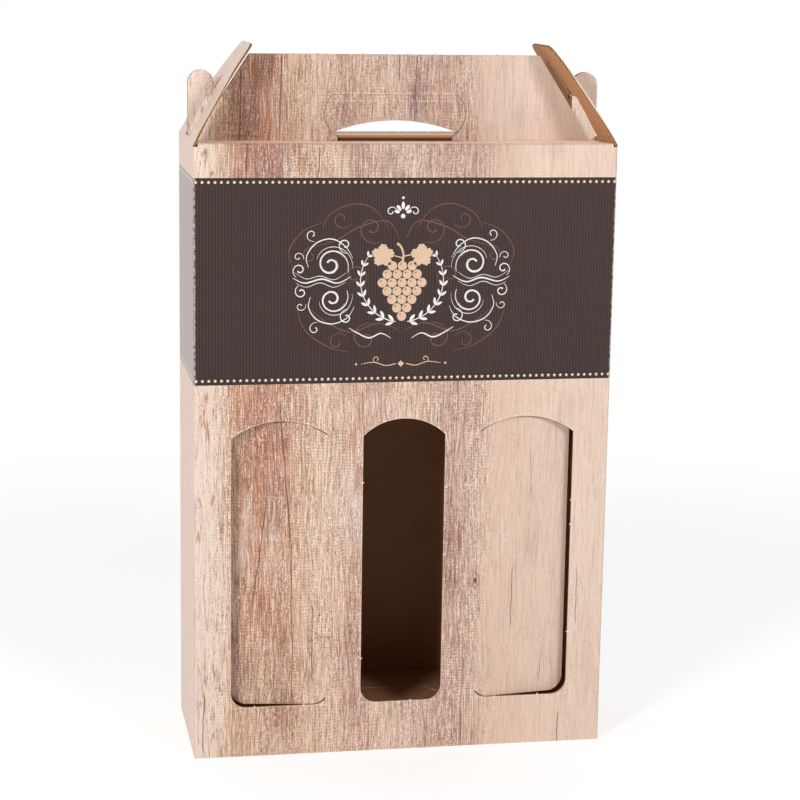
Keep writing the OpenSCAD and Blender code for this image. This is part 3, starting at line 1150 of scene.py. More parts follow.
@dataclass
class Carton(BoardPiece):
    """The box itself, from the base up to both handle plates."""

    fold_r: float = 1.3
    floor_z: float = 18.2
    plate_out: float = 1.8
    sag_ends: float = 1.4
    sag_middle: float = 2.3
    sag_half: float = 46.0
    hole_top: float = 368.9
    hole_half: float = 34.8
    rear_drop: float = 1.0
    rear_low: float = 3.1
    roof_end: float = 122.0
    rim_z: float = 15.0
    tiny: float = 0.03

    @property
    def back_sheet(self) -> float:
        """Returns the sheet's width up to the back panel's middle."""
        return 2 * self.half_w + 2 * self.half_d

    def detail(self, mesh: bmesh.types.BMesh) -> None:
        """Parts the roof and the handle beside the hole, so that they can sink there.

        Args:
            mesh: The box's mesh in metres.
        """
        for side in (-1, 1):
            high = [face for face in mesh.faces
                    if face.calc_center_median().z > (self.fold_z - 0.5) * MM]
            edges = {edge for face in high for edge in face.edges}
            verts = {vert for face in high for vert in face.verts}
            bmesh.ops.bisect_plane(mesh, geom=[*verts, *edges, *high], dist=0.001 * MM,
                                   plane_co=(side * self.sag_half * MM, 0, 0), plane_no=(1, 0, 0))

    def settle(self, mesh: bmesh.types.BMesh) -> None:
        """Lets the roof sink towards the handle, whose hole reaches down to the fold.

        Args:
            mesh: The box's mesh in metres, with its print laid on.
        """
        reach = self.plate_out + self.tiny
        for vert in mesh.verts:
            x, y, z = vert.co / MM
            if abs(y) > reach or abs(x) > self.roof_end or not self.fold_z - 1 < z < self.hole_top:
                continue
            if z < self.roof_z + self.tiny:
                middle = min(1.0, (self.half_w - abs(x)) / (self.half_w - self.sag_half))
                vert.co.z -= (self.sag_ends + (self.sag_middle - self.sag_ends) * middle) * MM
            elif y < 0:
                share = min(1.0, (self.hole_top - z) / (self.hole_top - self.roof_z - 0.2))
                vert.co.z -= self.sag_middle * share * MM
                vert.co.x += math.copysign(max(self.hole_half - abs(x), 0) * share, x) * MM
            elif z < self.roof_z + self.rear_low:
                vert.co.z -= self.rear_drop * MM

    def around(self, point: Vector) -> float:
        """Places a point of the outside wall on the sheet.

        Args:
            point: The point.

        Returns:
            Its place across the sheet, counted from the front's middle.
        """
        from_side, from_front = abs(point.x) - self.half_w, abs(point.y) - self.half_d
        if from_front >= from_side:
            return point.x if point.y < 0 else self.back_sheet - point.x
        run = self.half_w + point.y + self.half_d
        return math.copysign(run, point.x)

    def patch(self, centre: Vector, normal: Vector) -> Patch:
        """Says what a face of the box shows and how it lies on the sheet.

        Args:
            centre: The face's centre.
            normal: Its direction.

        Returns:
            The finish, and the function that places a point on the sheet.
        """
        front = centre.y < 0
        level = abs(normal.z) > SQUARE
        roof = self.side_sheet + self.half_d - self.board
        if centre.z > self.roof_z + self.tiny and abs(centre.y) < self.board + 1:
            along = lambda p: roof - self.board + p.z - self.roof_z
            if abs(normal.y) > SQUARE:
                outer = (normal.y < 0) == front
                return (Finish.PRINT if outer else Finish.KRAFT,
                        lambda p: (p.x if front else self.back_sheet - p.x, along(p)))
            return Finish.CUT, lambda p: (self.plate_out - abs(p.y), p.z)
        if centre.z > self.fold_z - 0.5 and abs(centre.x) < self.half_w - 2.5:
            across = lambda p: p.x if front else self.back_sheet - p.x
            if level and normal.z > 0:
                return Finish.PRINT, lambda p: (across(p), roof - abs(p.y))
            if abs(centre.y) > self.half_d - self.board and abs(normal.x) < 0.5:
                return Finish.PRINT, lambda p: (across(p), self.fold_z + math.atan2(
                    max(p.z - self.fold_z, 0), abs(p.y) - self.half_d + self.board + 1e-6) * self.board)
            if abs(normal.x) > 0.5 and centre.z > self.fold_z:
                return Finish.CUT, lambda p: (self.roof_z - p.z, p.y)
            if level:
                return Finish.KRAFT, lambda p: (p.x, p.y)
        outside = (abs(centre.x) > self.half_w - self.fold_r or
                   abs(centre.y) > self.half_d - self.tiny) and not level
        if outside and (normal.x * centre.x > 0 and abs(centre.x) > self.half_w - self.fold_r
                        or normal.y * centre.y > 0 and abs(centre.y) > self.half_d - self.fold_r):
            return Finish.PRINT, lambda p: (self.around(p), p.z)
        if level and centre.z > self.fold_z - 1.0:
            return Finish.CUT, lambda p: (min(self.half_w - abs(p.x), self.half_d - abs(p.y)), p.y)
        in_wall = self.half_d - self.board + self.tiny < abs(centre.y) < self.half_d - self.tiny
        if in_wall and front and centre.z > self.floor_z and abs(normal.y) < 0.5:
            return Finish.CUT, lambda p: (p.y + self.half_d, p.z)
        if centre.z < self.floor_z - self.tiny:
            if level and (centre.z < self.tiny or normal.z < 0):
                return Finish.PRINT, lambda p: (p.x, p.y)
            if not level and centre.z < self.rim_z:
                return Finish.PRINT, lambda p: (p.x + p.y, -p.z)
            return Finish.CUT, lambda p: (self.floor_z - p.z, p.x + p.y)
        if level:
            return Finish.KRAFT, lambda p: (p.x, p.y)
        return Finish.KRAFT, lambda p: (p.x + p.y, p.z)


@dataclass
class SideFlap(BoardPiece):
    """A tapered flap that leans in over the ears, slightly bowed outwards."""

    side: int = -1
    angle: float = math.radians(57.5)
    bow: float = 360.0
    length: float = 66.0

    def place(self, point: Vector) -> tuple[float, float]:
        """Turns a point into the flap's own length and height.

        Args:
            point: The point.

        Returns:
            How far it lies from the fold, and how far outside the chord.
        """
        run = (self.half_w - self.board / 2 + self.side * -point.x)
        rise = point.z - self.roof_z + self.board / 2
        return (run * math.cos(self.angle) + rise * math.sin(self.angle),
                rise * math.cos(self.angle) - run * math.sin(self.angle))

    def patch(self, centre: Vector, normal: Vector) -> Patch:
        """Says what a face of the flap shows and how it lies on the sheet.

        Args:
            centre: The face's centre.
            normal: Its direction.

        Returns:
            The finish, and the function that places a point on the sheet.
        """
        drop = math.sqrt(self.bow ** 2 - (self.length / 2) ** 2)
        along = lambda p: self.place(p)[0]
        depth = lambda p: self.bow + self.board / 2 - math.hypot(
            along(p) - self.length / 2, self.place(p)[1] + drop)
        outward = (Vector((self.side * math.sin(self.angle), 0, math.cos(self.angle)))).dot(normal)
        across = lambda p: self.side * (self.half_w + p.y + self.half_d)
        if abs(normal.y) < 0.5 and (outward > 0.7 or (along(centre) < 0.4 and outward > -0.5)):
            return Finish.PRINT, lambda p: (across(p), self.side_sheet + along(p))
        if outward < -0.7 or (along(centre) < 0.4 and abs(normal.y) < 0.5):
            return Finish.KRAFT, lambda p: (across(p), along(p))
        return Finish.CUT, lambda p: (depth(p), along(p))


@dataclass
class WindowFlap(BoardPiece):
    """A flap cut out of the front panel and pushed a little way in."""

    side: int = -1
    fold_x: float = 44.6
    rest: float = math.radians(8)
    middle: tuple[float, float] = (73.0, 117.0)
    reach: tuple[float, float] = (29.2, 87.0)
    growth: float = 0.16

    def detail(self, mesh: bmesh.types.BMesh) -> None:
        """Widens the flap until the cut round it is as fine as the die leaves it."""
        bmesh.ops.scale(
            mesh, verts=mesh.verts,
            vec=(1 + self.growth / self.reach[0], 1, 1 + self.growth / self.reach[1]),
            space=Matrix.Translation((-self.side * self.middle[0] * MM, 0, -self.middle[1] * MM)))

    def flat(self, point: Vector) -> Vector:
        """Turns a point back to where it lay in the panel.

        Args:
            point: The point.

        Returns:
            The point in the plane of the front panel.
        """
        pivot = Vector((self.side * self.fold_x, -self.half_d + self.board / 2, 0))
        turn = Euler((0, 0, -self.side * self.rest)).to_matrix()
        return turn @ (point - pivot) + pivot

    def patch(self, centre: Vector, normal: Vector) -> Patch:
        """Says what a face of the flap shows and how it lies on the sheet.

        Args:
            centre: The face's centre.
            normal: Its direction.

        Returns:
            The finish, and the function that places a point on the sheet.
        """
        facing = (Euler((0, 0, -self.side * self.rest)).to_matrix() @ normal).y
        at_fold = abs(self.flat(centre).x) < self.fold_x + 0.02 and abs(normal.z) < 0.5
        if facing < -0.7 or (at_fold and facing < 0.2):
            return Finish.PRINT, lambda p: (self.flat(p).x, p.z)
        if facing > 0.7 or at_fold:
            return Finish.KRAFT, lambda p: (self.flat(p).x, p.z)
        return Finish.CUT, lambda p: (self.flat(p).y + self.half_d, p.z)


@dataclass
class GripFlap(BoardPiece):
    """The flap that fills the hand hole and folds back under the hand."""

    plate_out: float = 1.8
    half_span: float = 42.2
    growth: float = 0.25

    def detail(self, mesh: bmesh.types.BMesh) -> None:
        """Widens the flap until the cut round it is as fine as the die leaves it."""
        bmesh.ops.scale(mesh, vec=(1 + self.growth / self.half_span, 1, 1), verts=mesh.verts)

    def patch(self, centre: Vector, normal: Vector) -> Patch:
        """Says what a face of the flap shows and how it lies on the sheet.

        Args:
            centre: The face's centre; not used.
            normal: Its direction.

        Returns:
            The finish, and the function that places a point on the sheet.
        """
        roof = self.side_sheet + self.half_d - self.board
        along = lambda p: roof - self.board + p.z - self.roof_z
        if normal.y < -0.5:
            return Finish.PRINT, lambda p: (p.x, along(p))
        if normal.y > 0.5:
            return Finish.KRAFT, lambda p: (p.x, along(p))
        return Finish.CUT, lambda p: (self.plate_out + p.y, p.z)


@dataclass
class Crease:
    """The printed paper that runs on over a fold, from the box to a flap."""

    flap: str
    material: bpy.types.Material
    pivot: Vector
    along: Vector
    out: Vector
    turn: float
    start: float
    end: float
    sheet: Callable[[float, float], tuple[float, float]]
    reach: float = 1.9
    flap_reach: float = 1.9
    radius: float = 0.8
    proud: float = 0.02
    paper: float = 0.05
    bend_half: float = 0.6
    sharp: float = math.radians(60)

    def build(self) -> bpy.types.Object:
        """Builds the strip across the fold.

        Returns:
            The strip's object.
        """
        across = self.along.cross(self.out)
        steps = self.steps()
        last = len(steps) - 1
        mesh = bmesh.new()
        layer = mesh.loops.layers.uv.new(SHEET)
        bmesh.ops.create_grid(mesh, x_segments=last, y_segments=1, size=1.0)
        made = bmesh.ops.extrude_face_region(mesh, geom=mesh.faces[:], use_keep_orig=True)["geom"]
        under = {item for item in made if isinstance(item, bmesh.types.BMVert)}
        runs = {}
        for vert in mesh.verts:
            step = steps[round((vert.co.x + 1) / 2 * last)]
            place = self.ends(step)[vert.co.y > 0]
            runs[vert] = (step, place)
            depth = self.proud - (self.paper if vert in under else 0.0)
            vert.co = (self.pivot + self.along * place + self.bent(step, depth, across)) * MM
        bmesh.ops.recalc_face_normals(mesh, faces=mesh.faces)
        for face in mesh.faces:
            face.smooth = True
            for loop in face.loops:
                across_sheet, along_sheet = self.sheet(*runs[loop.vert])
                loop[layer].uv = (across_sheet / SHEET_UNIT, along_sheet / SHEET_UNIT)
        piece = put(self.flap + "_crease", mesh, [self.material])
        piece.data.set_sharp_from_angle(angle=self.sharp)
        half = across * self.bend_half
        (self.pivot - half) * MM
        (self.pivot + half) * MM
        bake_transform(piece)
        return piece

    def ends(self, step: float) -> tuple[float, float]:
        """Gives the strip's two ends at a place across the fold."""
        return self.start, self.end

    def steps(self) -> list[float]:
        """Spreads the strip's points across the fold.

        Returns:
            Their places, counted from the fold's middle.
        """
        curve = max(self.radius * abs(self.turn) / 2, 0.5)
        inner = [curve * i / 4 for i in range(-4, 5)]
        return [-self.reach, *inner, self.flap_reach]

    def bent(self, step: float, depth: float, across: Vector) -> Vector:
        """Places a point of the strip about the fold.

        Args:
            step: How far across the fold it lies.
            depth: How far outside the board.
            across: The direction from the box to the flap before the bend.

        Returns:
            The point, measured from the fold's axis.
        """
        curve = self.radius * abs(self.turn) / 2
        share = max(-1.0, min(1.0, step / curve)) if curve else 0.0
        angle = self.turn * (share + 1) / 2
        out = self.out * math.cos(angle) + across * math.sin(angle)
        tangent = across * math.cos(angle) - self.out * math.sin(angle)
        return out * (self.radius + depth) + tangent * (step - share * curve)


@dataclass
class GripCrease(Crease):
    """The paper over the grip flap's fold, which widens along the hand hole's round ends."""

    round_x: float = 28.2
    round_r: float = 14.3
    round_drop: float = 10.15
    inset: float = 0.05

    def ends(self, step: float) -> tuple[float, float]:
        """Keeps the strip's ends just inside the round ends of the hole.

        Args:
            step: The place across the fold.

        Returns:
            The two ends.
        """
        drop = min(self.round_drop - step, self.round_r)
        half = self.round_x + math.sqrt(self.round_r ** 2 - drop ** 2) - self.inset
        return -half, half

    def steps(self) -> list[float]:
        """Spreads the points, closer together where the ends are round.

        Returns:
            Their places, counted from the fold's middle.
        """
        inner = super().steps()
        curve = inner[-2]
        return inner[:-1] + [curve + (self.flap_reach - curve) * i / 5 for i in range(1, 6)]


@dataclass(frozen=True)
class Ink:
    """An ink printed on the band, a little mottled where the fluted board took it unevenly."""

    name: str
    colour: Tone
    mottle: float = 0.16
    cloud: float = 260.0
    grit: float = 1400.0

    def material(self) -> bpy.types.Material:
        """Builds the finish.

        Returns:
            The material.
        """
        g = Graph(bpy.data.materials.new(self.name))
        where = g.add("ShaderNodeTexCoord").outputs["Object"]
        cloud, grit = (Value(g, g.add("ShaderNodeTexNoise", None, {
            "Vector": where, "Scale": scale, "Detail": detail}).outputs["Fac"])
            for scale, detail in ((self.cloud, 3.0), (self.grit, 2.0)))
        shade = 1.0 + (cloud - 0.5) * self.mottle + (grit - 0.5) * self.mottle
        return g.surface({
            "Base Color": g.plain(srgb(*self.colour)).scaled(shade), "Specular IOR Level": 0.25,
            "Roughness": 0.4 + (grit - 0.5) * 0.2, "Normal": g.bump(grit, 0.00003, 0.3)})


@dataclass(frozen=True)
class Nick:
    """A tiny torn bridge of paper where the blank was broken out of its sheet."""

    place: tuple[float, float, float]
    size: tuple[float, float, float]
    turn: float = 0.0
    ragged: float = 0.25

    def add(self, mesh: bmesh.types.BMesh) -> None:
        """Adds the torn bridge as a small lump with a ragged top.

        Args:
            mesh: The mesh that it goes into, in millimetres.
        """
        made = bmesh.ops.create_icosphere(mesh, subdivisions=2, radius=0.5)["verts"]
        for vert in made:
            swing = math.sin(9 * vert.co.x + 7 * vert.co.z + 5 * self.place[0])
            vert.co *= 1 + self.ragged * swing
        bmesh.ops.rotate(mesh, verts=made, cent=(0, 0, 0),
                         matrix=Matrix.Rotation(math.radians(self.turn), 3, "Y"))
        bmesh.ops.scale(mesh, verts=made, vec=self.size)
        bmesh.ops.translate(mesh, verts=made, vec=self.place)


@dataclass
class Nicks:
    """The torn bridges that the die left along one kind of edge."""

    name: str
    paper: bpy.types.Material
    nicks: list[Nick]

    def build(self) -> bpy.types.Object:
        """Builds them and hands them to the frame.

        Returns:
            The piece's object.
        """
        mesh = bmesh.new()
        for nick in self.nicks:
            nick.add(mesh)
        bmesh.ops.scale(mesh, vec=(MM, MM, MM), verts=mesh.verts)
        piece = put(self.name, mesh, [self.paper])
        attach(piece, "carton")
        return piece


def handle_nicks() -> list[Nick]:
    """Places the torn bridges along the handle's top edge.

    Returns:
        The torn bridges.
    """
    top, depth = 413.5, 1.0
    found = []
    for i, across in enumerate((-47.0, -20.0, 7.0, 23.5, 61.0)):
        size = (1.5 + 0.3 * (i % 2), 1.1, 0.8 + 0.15 * (i % 3))
        found.append(Nick((across, -depth, top + 0.1), size, 12.0 * (i % 3)))
        found.append(Nick((across + 1.2, -depth, top), (0.7, 0.8, 0.5), 30.0))
    return found


def window_nicks() -> list[Nick]:
    """Places the torn bridges on the edges of the three windows.

    Returns:
        The torn bridges.
    """
    depth, thin = -47.548, 0.03
    sill, left, right, arch = 30.6, -24.6, 102.3, 202.6
    lying, upright = (1.6, thin, 0.8), (0.8, thin, 1.9)
    found = [Nick((across, depth, sill), upright, 8.0) for across in (-88.4, -58.8, 58.0, 84.8)]
    found.append(Nick((6.0, depth, sill), lying, 5.0))
    found += [Nick((left, depth, height), lying, 20.0) for height in (166.0, 58.0)]
    found += [Nick((right, depth, height), lying, -15.0) for height in (152.0, 137.0, 69.7)]
    found += [Nick((across, depth, arch), (1.0, thin, 0.7), 30.0) for across in (57.0, 88.6)]
    return found


Stroke = list[tuple[float, float, float]]


@dataclass
class Ornament:
    """A bunch of grapes between laurel sprigs and scrolls, printed on the band's front."""

    middle: float = -3.0
    height: float = 286.0
    face_y: float = -47.51
    layer: float = 0.03
    berry_r: float = 2.75
    berry_rows: tuple[int, ...] = (3, 4, 5, 4, 3, 2, 1)
    laurel_r: float = 24.5
    laurel_leaves: int = 9
    weight: float = 0.78

    def volute(self, centre: tuple[float, float], radii: tuple[float, float],
               turn: tuple[float, float], widths: tuple[float, float, float]) -> Stroke:
        """Draws a spiral.

        Args:
            centre: Its centre, from the ornament's middle.
            radii: Its first and last radius.
            turn: Its first and last angle in degrees.
            widths: The line's half width at the start, in the middle and at the end.

        Returns:
            The stroke's points, each with its half width.
        """
        count = max(10, int(abs(turn[1] - turn[0]) / 9))
        stroke = []
        for i in range(count + 1):
            share = i / count
            angle = math.radians(turn[0] + (turn[1] - turn[0]) * share)
            radius = radii[0] * (radii[1] / radii[0]) ** share
            swell = math.sin(math.pi * share)
            width = widths[0] * (1 - share) + widths[2] * share
            stroke.append((centre[0] + radius * math.cos(angle), centre[1] + radius * math.sin(angle),
                           width + (widths[1] - width) * swell))
        return stroke

    def sweep(self, points: list[tuple[float, float]], widths: tuple[float, float, float]) -> Stroke:
        """Draws a smooth line through a few points.

        Args:
            points: The points, from the ornament's middle.
            widths: The line's half width at the start, in the middle and at the end.

        Returns:
            The stroke's points, each with its half width.
        """
        padded = [points[0], *points, points[-1]]
        stroke = []
        spans = len(points) - 1
        for i in range(spans):
            a, b, c, d = padded[i:i + 4]
            for j in range(8 + (i == spans - 1)):
                t = j / 8
                place = [0.5 * (2 * b[k] + (c[k] - a[k]) * t
                                + (2 * a[k] - 5 * b[k] + 4 * c[k] - d[k]) * t * t
                                + (3 * b[k] - a[k] - 3 * c[k] + d[k]) * t ** 3) for k in (0, 1)]
                share = (i + t) / spans
                width = widths[0] * (1 - share) + widths[2] * share
                stroke.append((place[0], place[1],
                               width + (widths[1] - width) * math.sin(math.pi * share)))
        return stroke

    def strokes(self, name: str, strokes: list[Stroke], ink: bpy.types.Material, lift: int,
                both: bool = True) -> bpy.types.Object:
        """Turns strokes into one thin layer of ink.

        Args:
            name: The piece's name.
            strokes: The strokes.
            ink: Their finish.
            lift: How many layers of ink lie under it.
            both: Whether each stroke is mirrored to the other side.

        Returns:
            The piece's object.
        """
        curve = bpy.data.curves.new(name, "CURVE")
        curve.dimensions, curve.bevel_depth, curve.bevel_resolution = "3D", 1.0, 1
        curve.use_fill_caps = True
        for stroke in strokes:
            for side in ((1, -1) if both else (1,)):
                line = curve.splines.new("POLY")
                line.points.add(len(stroke) - 1)
                for point, (x, z, half) in zip(line.points, stroke):
                    point.co, point.radius = (side * x, 0, z, 1), half * self.weight
        drawing = bpy.data.objects.new(name + "_line", curve)
        mesh = bmesh.new()
        bpy.context.scene.collection.objects.link(drawing)
        shape = drawing.evaluated_get(bpy.context.evaluated_depsgraph_get())
        mesh.from_mesh(shape.to_mesh())
        shape.to_mesh_clear()
        bpy.data.objects.remove(drawing)
        bpy.data.curves.remove(curve)
        thickest = max(abs(vert.co.y) for vert in mesh.verts)
        bmesh.ops.scale(mesh, vec=(1, self.layer / 2 / thickest, 1), verts=mesh.verts)
        return self.finish(name, mesh, ink, lift)

    def finish(self, name: str, mesh: bmesh.types.BMesh, ink: bpy.types.Material,
               lift: int) -> bpy.types.Object:
        """Moves a flat shape onto the band and hands it to the frame.

        Args:
            name: The piece's name.
            mesh: The shape in millimetres, about the ornament's middle.
            ink: Its finish.
            lift: How many layers of ink lie under it.

        Returns:
            The piece's object.
        """
        bmesh.ops.remove_doubles(mesh, verts=mesh.verts, dist=0.0005)
        bmesh.ops.recalc_face_normals(mesh, faces=mesh.faces)
        bmesh.ops.translate(mesh, verts=mesh.verts, vec=(
            self.middle, self.face_y - self.layer * (0.5 + 0.4 * lift), self.height))
        bmesh.ops.scale(mesh, vec=(MM, MM, MM), verts=mesh.verts)
        piece = put(name, mesh, [ink])
        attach(piece, "carton")
        return piece

    def disc(self, mesh: bmesh.types.BMesh, x: float, z: float, half_w: float, half_h: float,
             turn: float = 0.0, segments: int = 24) -> list[bmesh.types.BMVert]:
        """Adds a flat oval.

        Args:
            mesh: The mesh that it goes into.
            x: Its middle across.
            z: Its middle upwards.
            half_w: Half its width before it is turned.
            half_h: Half its height before it is turned.
            turn: Its turn in degrees.
            segments: Its number of sides.

        Returns:
            Its points.
        """
        place = (Matrix.Translation((x, 0, z)) @ Matrix.Rotation(math.radians(-turn), 4, "Y")
                 @ Matrix.Diagonal((half_w, 1, half_h, 1)) @ Matrix.Rotation(math.pi / 2, 4, "X"))
        made = bmesh.ops.create_cone(mesh, cap_ends=True, cap_tris=False, segments=segments,
                                     radius1=1, radius2=1, depth=self.layer, matrix=place)
        return made["verts"]

    def grapes(self, ink: bpy.types.Material, shine: bpy.types.Material) -> None:
        """Prints the bunch of grapes, its stalk and its two vine leaves.

        Args:
            ink: The berries' ink.
            shine: The ink of the berries' shine.
        """
        mesh = bmesh.new()
        lights = bmesh.new()
        pitch = self.berry_r * 2 + 0.35
        top, row_share = 8.5, 0.84
        leaf_x, leaf_z, leaf_r, leaf_turn = 11.5, 14.6, 7.2, math.radians(20)
        for row, count in enumerate(self.berry_rows):
            z = top - row * pitch * row_share
            for i in range(count):
                x = (i - (count - 1) / 2) * pitch
                self.disc(mesh, x, z, self.berry_r, self.berry_r)
                self.disc(lights, x - 0.9, z + 1.0, 0.75, 0.45, 35.0, 12)
        for side in (1, -1):
            for vert in self.disc(mesh, side * leaf_x, leaf_z, leaf_r, leaf_r, 0.0, 90):
                dx, dz = vert.co.x - side * leaf_x, vert.co.z - leaf_z
                angle = math.atan2(dz, dx * side) - leaf_turn
                lobe = 0.62 + 0.30 * abs(math.cos(2.5 * angle)) ** 0.7 + 0.045 * math.cos(17 * angle)
                vert.co.x, vert.co.z = side * leaf_x + dx * lobe, leaf_z + dz * lobe
        self.finish("grape_ink", mesh, ink, 1)
        self.finish("grape_shine_ink", lights, shine, 2)
        stalk = [self.sweep([(0.0, 10.5), (0.6, 15.0), (-0.9, 19.5), (-3.2, 21.6)], (1.1, 0.9, 1.3)),
                 self.sweep([(0.4, 14.0), (5.0, 14.8), (9.0, 14.4)], (0.7, 0.5, 0.4)),
                 self.sweep([(0.2, 13.0), (-5.0, 14.4), (-9.0, 14.4)], (0.7, 0.5, 0.4))]
        self.strokes("stalk_ink", stalk, ink, 2, both=False)

    def laurels(self, ink: bpy.types.Material) -> None:
        """Prints a laurel sprig on each side of the grapes.

        Args:
            ink: Their ink.
        """
        mesh = bmesh.new()
        first, spread, shrink = -74, 112, 0.35
        half_l, half_w, offset, lean = 2.5, 0.95, 1.75, 34
        for side in (1, -1):
            for i in range(self.laurel_leaves):
                share = i / (self.laurel_leaves - 1)
                angle = first + share * spread
                size = 1.0 - shrink * share
                for rim in (-1, 1):
                    radius = self.laurel_r + rim * offset * size
                    x = radius * math.cos(math.radians(angle))
                    z = radius * math.sin(math.radians(angle))
                    verts = self.disc(mesh, 0, 0, half_l * size, half_w * size, 0.0, 14)
                    for vert in verts:
                        vert.co.z *= 1 - 0.45 * (vert.co.x / (half_l * size)) ** 2
                    turn = math.radians(angle + 90 - rim * lean)
                    bmesh.ops.rotate(mesh, verts=verts, cent=(0, 0, 0),
                                     matrix=Matrix.Rotation(-turn, 3, "Y"))
                    bmesh.ops.translate(mesh, verts=verts, vec=(x, 0, z))
                    if side < 0:
                        bmesh.ops.scale(mesh, vec=(-1, 1, 1), verts=verts)
        self.finish("laurel_ink", mesh, ink, 1)
        stem = self.volute((0, 0), (self.laurel_r, self.laurel_r), (-82, 40), (0.5, 0.4, 0.2))
        self.strokes("laurel_stem_ink", [stem], ink, 2)

    def scrolls(self, ink: bpy.types.Material, faint: bpy.types.Material) -> None:
        """Prints the pale scrolls at both sides and the faint ones behind them.

        Args:
            ink: The pale ink.
            faint: The faint ink.
        """
        pale = [
            self.volute((42.0, 9.5), (11.0, 2.2), (205, -330), (0.25, 0.75, 0.9)),
            self.volute((41.0, -10.5), (10.0, 2.0), (150, 690), (0.25, 0.75, 0.9)),
            self.sweep([(30.0, 2.5), (38.0, -1.2), (47.0, 1.2), (57.0, -1.0), (64.0, 2.0)],
                       (0.2, 0.7, 0.15)),
            self.volute((60.0, 6.6), (4.6, 1.2), (-65, 330), (0.2, 0.5, 0.7)),
            self.volute((59.0, -6.4), (4.2, 1.2), (70, -320), (0.2, 0.5, 0.7)),
            self.volute((33.5, 21.0), (5.0, 1.2), (-100, 300), (0.2, 0.5, 0.6)),
            self.volute((32.5, -21.5), (5.0, 1.2), (100, -300), (0.2, 0.5, 0.6)),
            self.sweep([(6.0, -34.0), (12.0, -31.0), (19.0, -33.5), (26.0, -30.5), (31.0, -27.5)],
                       (0.15, 0.65, 0.2)),
            self.volute((42.0, 9.5), (13.2, 8.6), (190, 20), (0.1, 0.3, 0.1)),
            self.volute((42.0, 9.5), (8.6, 3.8), (150, -230), (0.1, 0.25, 0.1)),
            self.volute((41.0, -10.5), (12.2, 7.6), (165, 350), (0.1, 0.3, 0.1)),
            self.volute((41.0, -10.5), (7.8, 3.4), (200, 590), (0.1, 0.25, 0.1)),
            self.sweep([(29.0, 13.0), (33.5, 20.0), (41.5, 24.4), (50.5, 22.0), (56.0, 14.6),
                        (55.0, 8.0)], (0.1, 0.55, 0.2)),
            self.sweep([(28.0, -15.0), (32.0, -21.5), (40.5, -25.0), (49.5, -22.6), (54.6, -15.6),
                        (53.6, -9.0)], (0.1, 0.55, 0.2)),
            self.sweep([(33.0, 4.6), (40.0, 0.8), (48.0, 3.0), (56.0, 1.4), (63.0, 5.2)],
                       (0.1, 0.3, 0.1)),
            self.sweep([(33.0, -0.6), (40.0, -3.6), (48.0, -1.0), (56.0, -3.4), (62.0, -1.2)],
                       (0.1, 0.3, 0.1)),
            self.volute((53.0, 27.0), (4.2, 1.0), (-110, 250), (0.15, 0.4, 0.5)),
            self.volute((51.0, -28.0), (4.2, 1.0), (110, -250), (0.15, 0.4, 0.5)),
            self.volute((61.0, 14.0), (3.4, 0.9), (200, -160), (0.15, 0.35, 0.45)),
            self.volute((59.5, -14.5), (3.4, 0.9), (160, 520), (0.15, 0.35, 0.45)),
            self.volute((7.0, 40.0), (3.6, 0.9), (180, -190), (0.2, 0.45, 0.5)),
        ]
        self.strokes("scroll_ink", pale, ink, 2)
        behind = [
            self.volute((18.0, 30.5), (9.5, 2.0), (-120, 330), (0.3, 0.55, 0.6)),
            self.volute((21.0, -34.0), (9.5, 2.0), (110, -330), (0.3, 0.55, 0.6)),
            self.sweep([(2.0, 24.0), (9.0, 34.5), (26.0, 31.0), (38.0, 24.0), (52.0, 20.0)],
                       (0.2, 0.6, 0.2)),
            self.sweep([(2.0, -29.0), (14.0, -25.0), (30.0, -30.0), (44.0, -24.0), (54.0, -16.0)],
                       (0.2, 0.6, 0.2)),
            self.volute((54.0, 14.5), (6.0, 1.4), (120, -260), (0.3, 0.5, 0.6)),
            self.volute((36.0, 36.0), (7.0, 1.6), (200, 560), (0.2, 0.45, 0.5)),
            self.volute((38.0, -36.0), (7.0, 1.6), (160, -200), (0.2, 0.45, 0.5)),
            self.volute((28.0, 3.0), (9.0, 2.0), (240, -140), (0.2, 0.45, 0.5)),
            self.sweep([(8.0, 30.0), (17.0, 41.5), (29.0, 44.5), (42.0, 39.0), (47.0, 30.0)],
                       (0.15, 0.5, 0.15)),
            self.sweep([(46.0, 34.0), (58.0, 29.0), (66.0, 18.0), (64.0, 8.0)], (0.15, 0.5, 0.15)),
            self.sweep([(30.0, -42.0), (44.0, -38.0), (57.0, -28.0), (62.0, -14.0)],
                       (0.15, 0.5, 0.15)),
        ]
        self.strokes("faint_scroll_ink", behind, faint, 0)

    def finial(self, ink: bpy.types.Material) -> None:
        """Prints the small fan of leaves over the ornament.

        Args:
            ink: Its ink.
        """
        mesh = bmesh.new()
        root, half_w = 39.0, 0.95
        for turn, reach, half_l in ((0, 4.6, 2.2), (38, 4.0, 1.9), (-38, 4.0, 1.9), (74, 3.6, 1.6),
                                    (-74, 3.6, 1.6)):
            angle = math.radians(turn)
            self.disc(mesh, reach * math.sin(angle), root + reach * math.cos(angle),
                      half_l, half_w, 90 - turn, 20)
        self.disc(mesh, 0.0, 37.4, 1.3, 1.3)
        self.disc(mesh, 0.0, 48.0, 0.8, 0.8)
        self.finish("finial_ink", mesh, ink, 1)

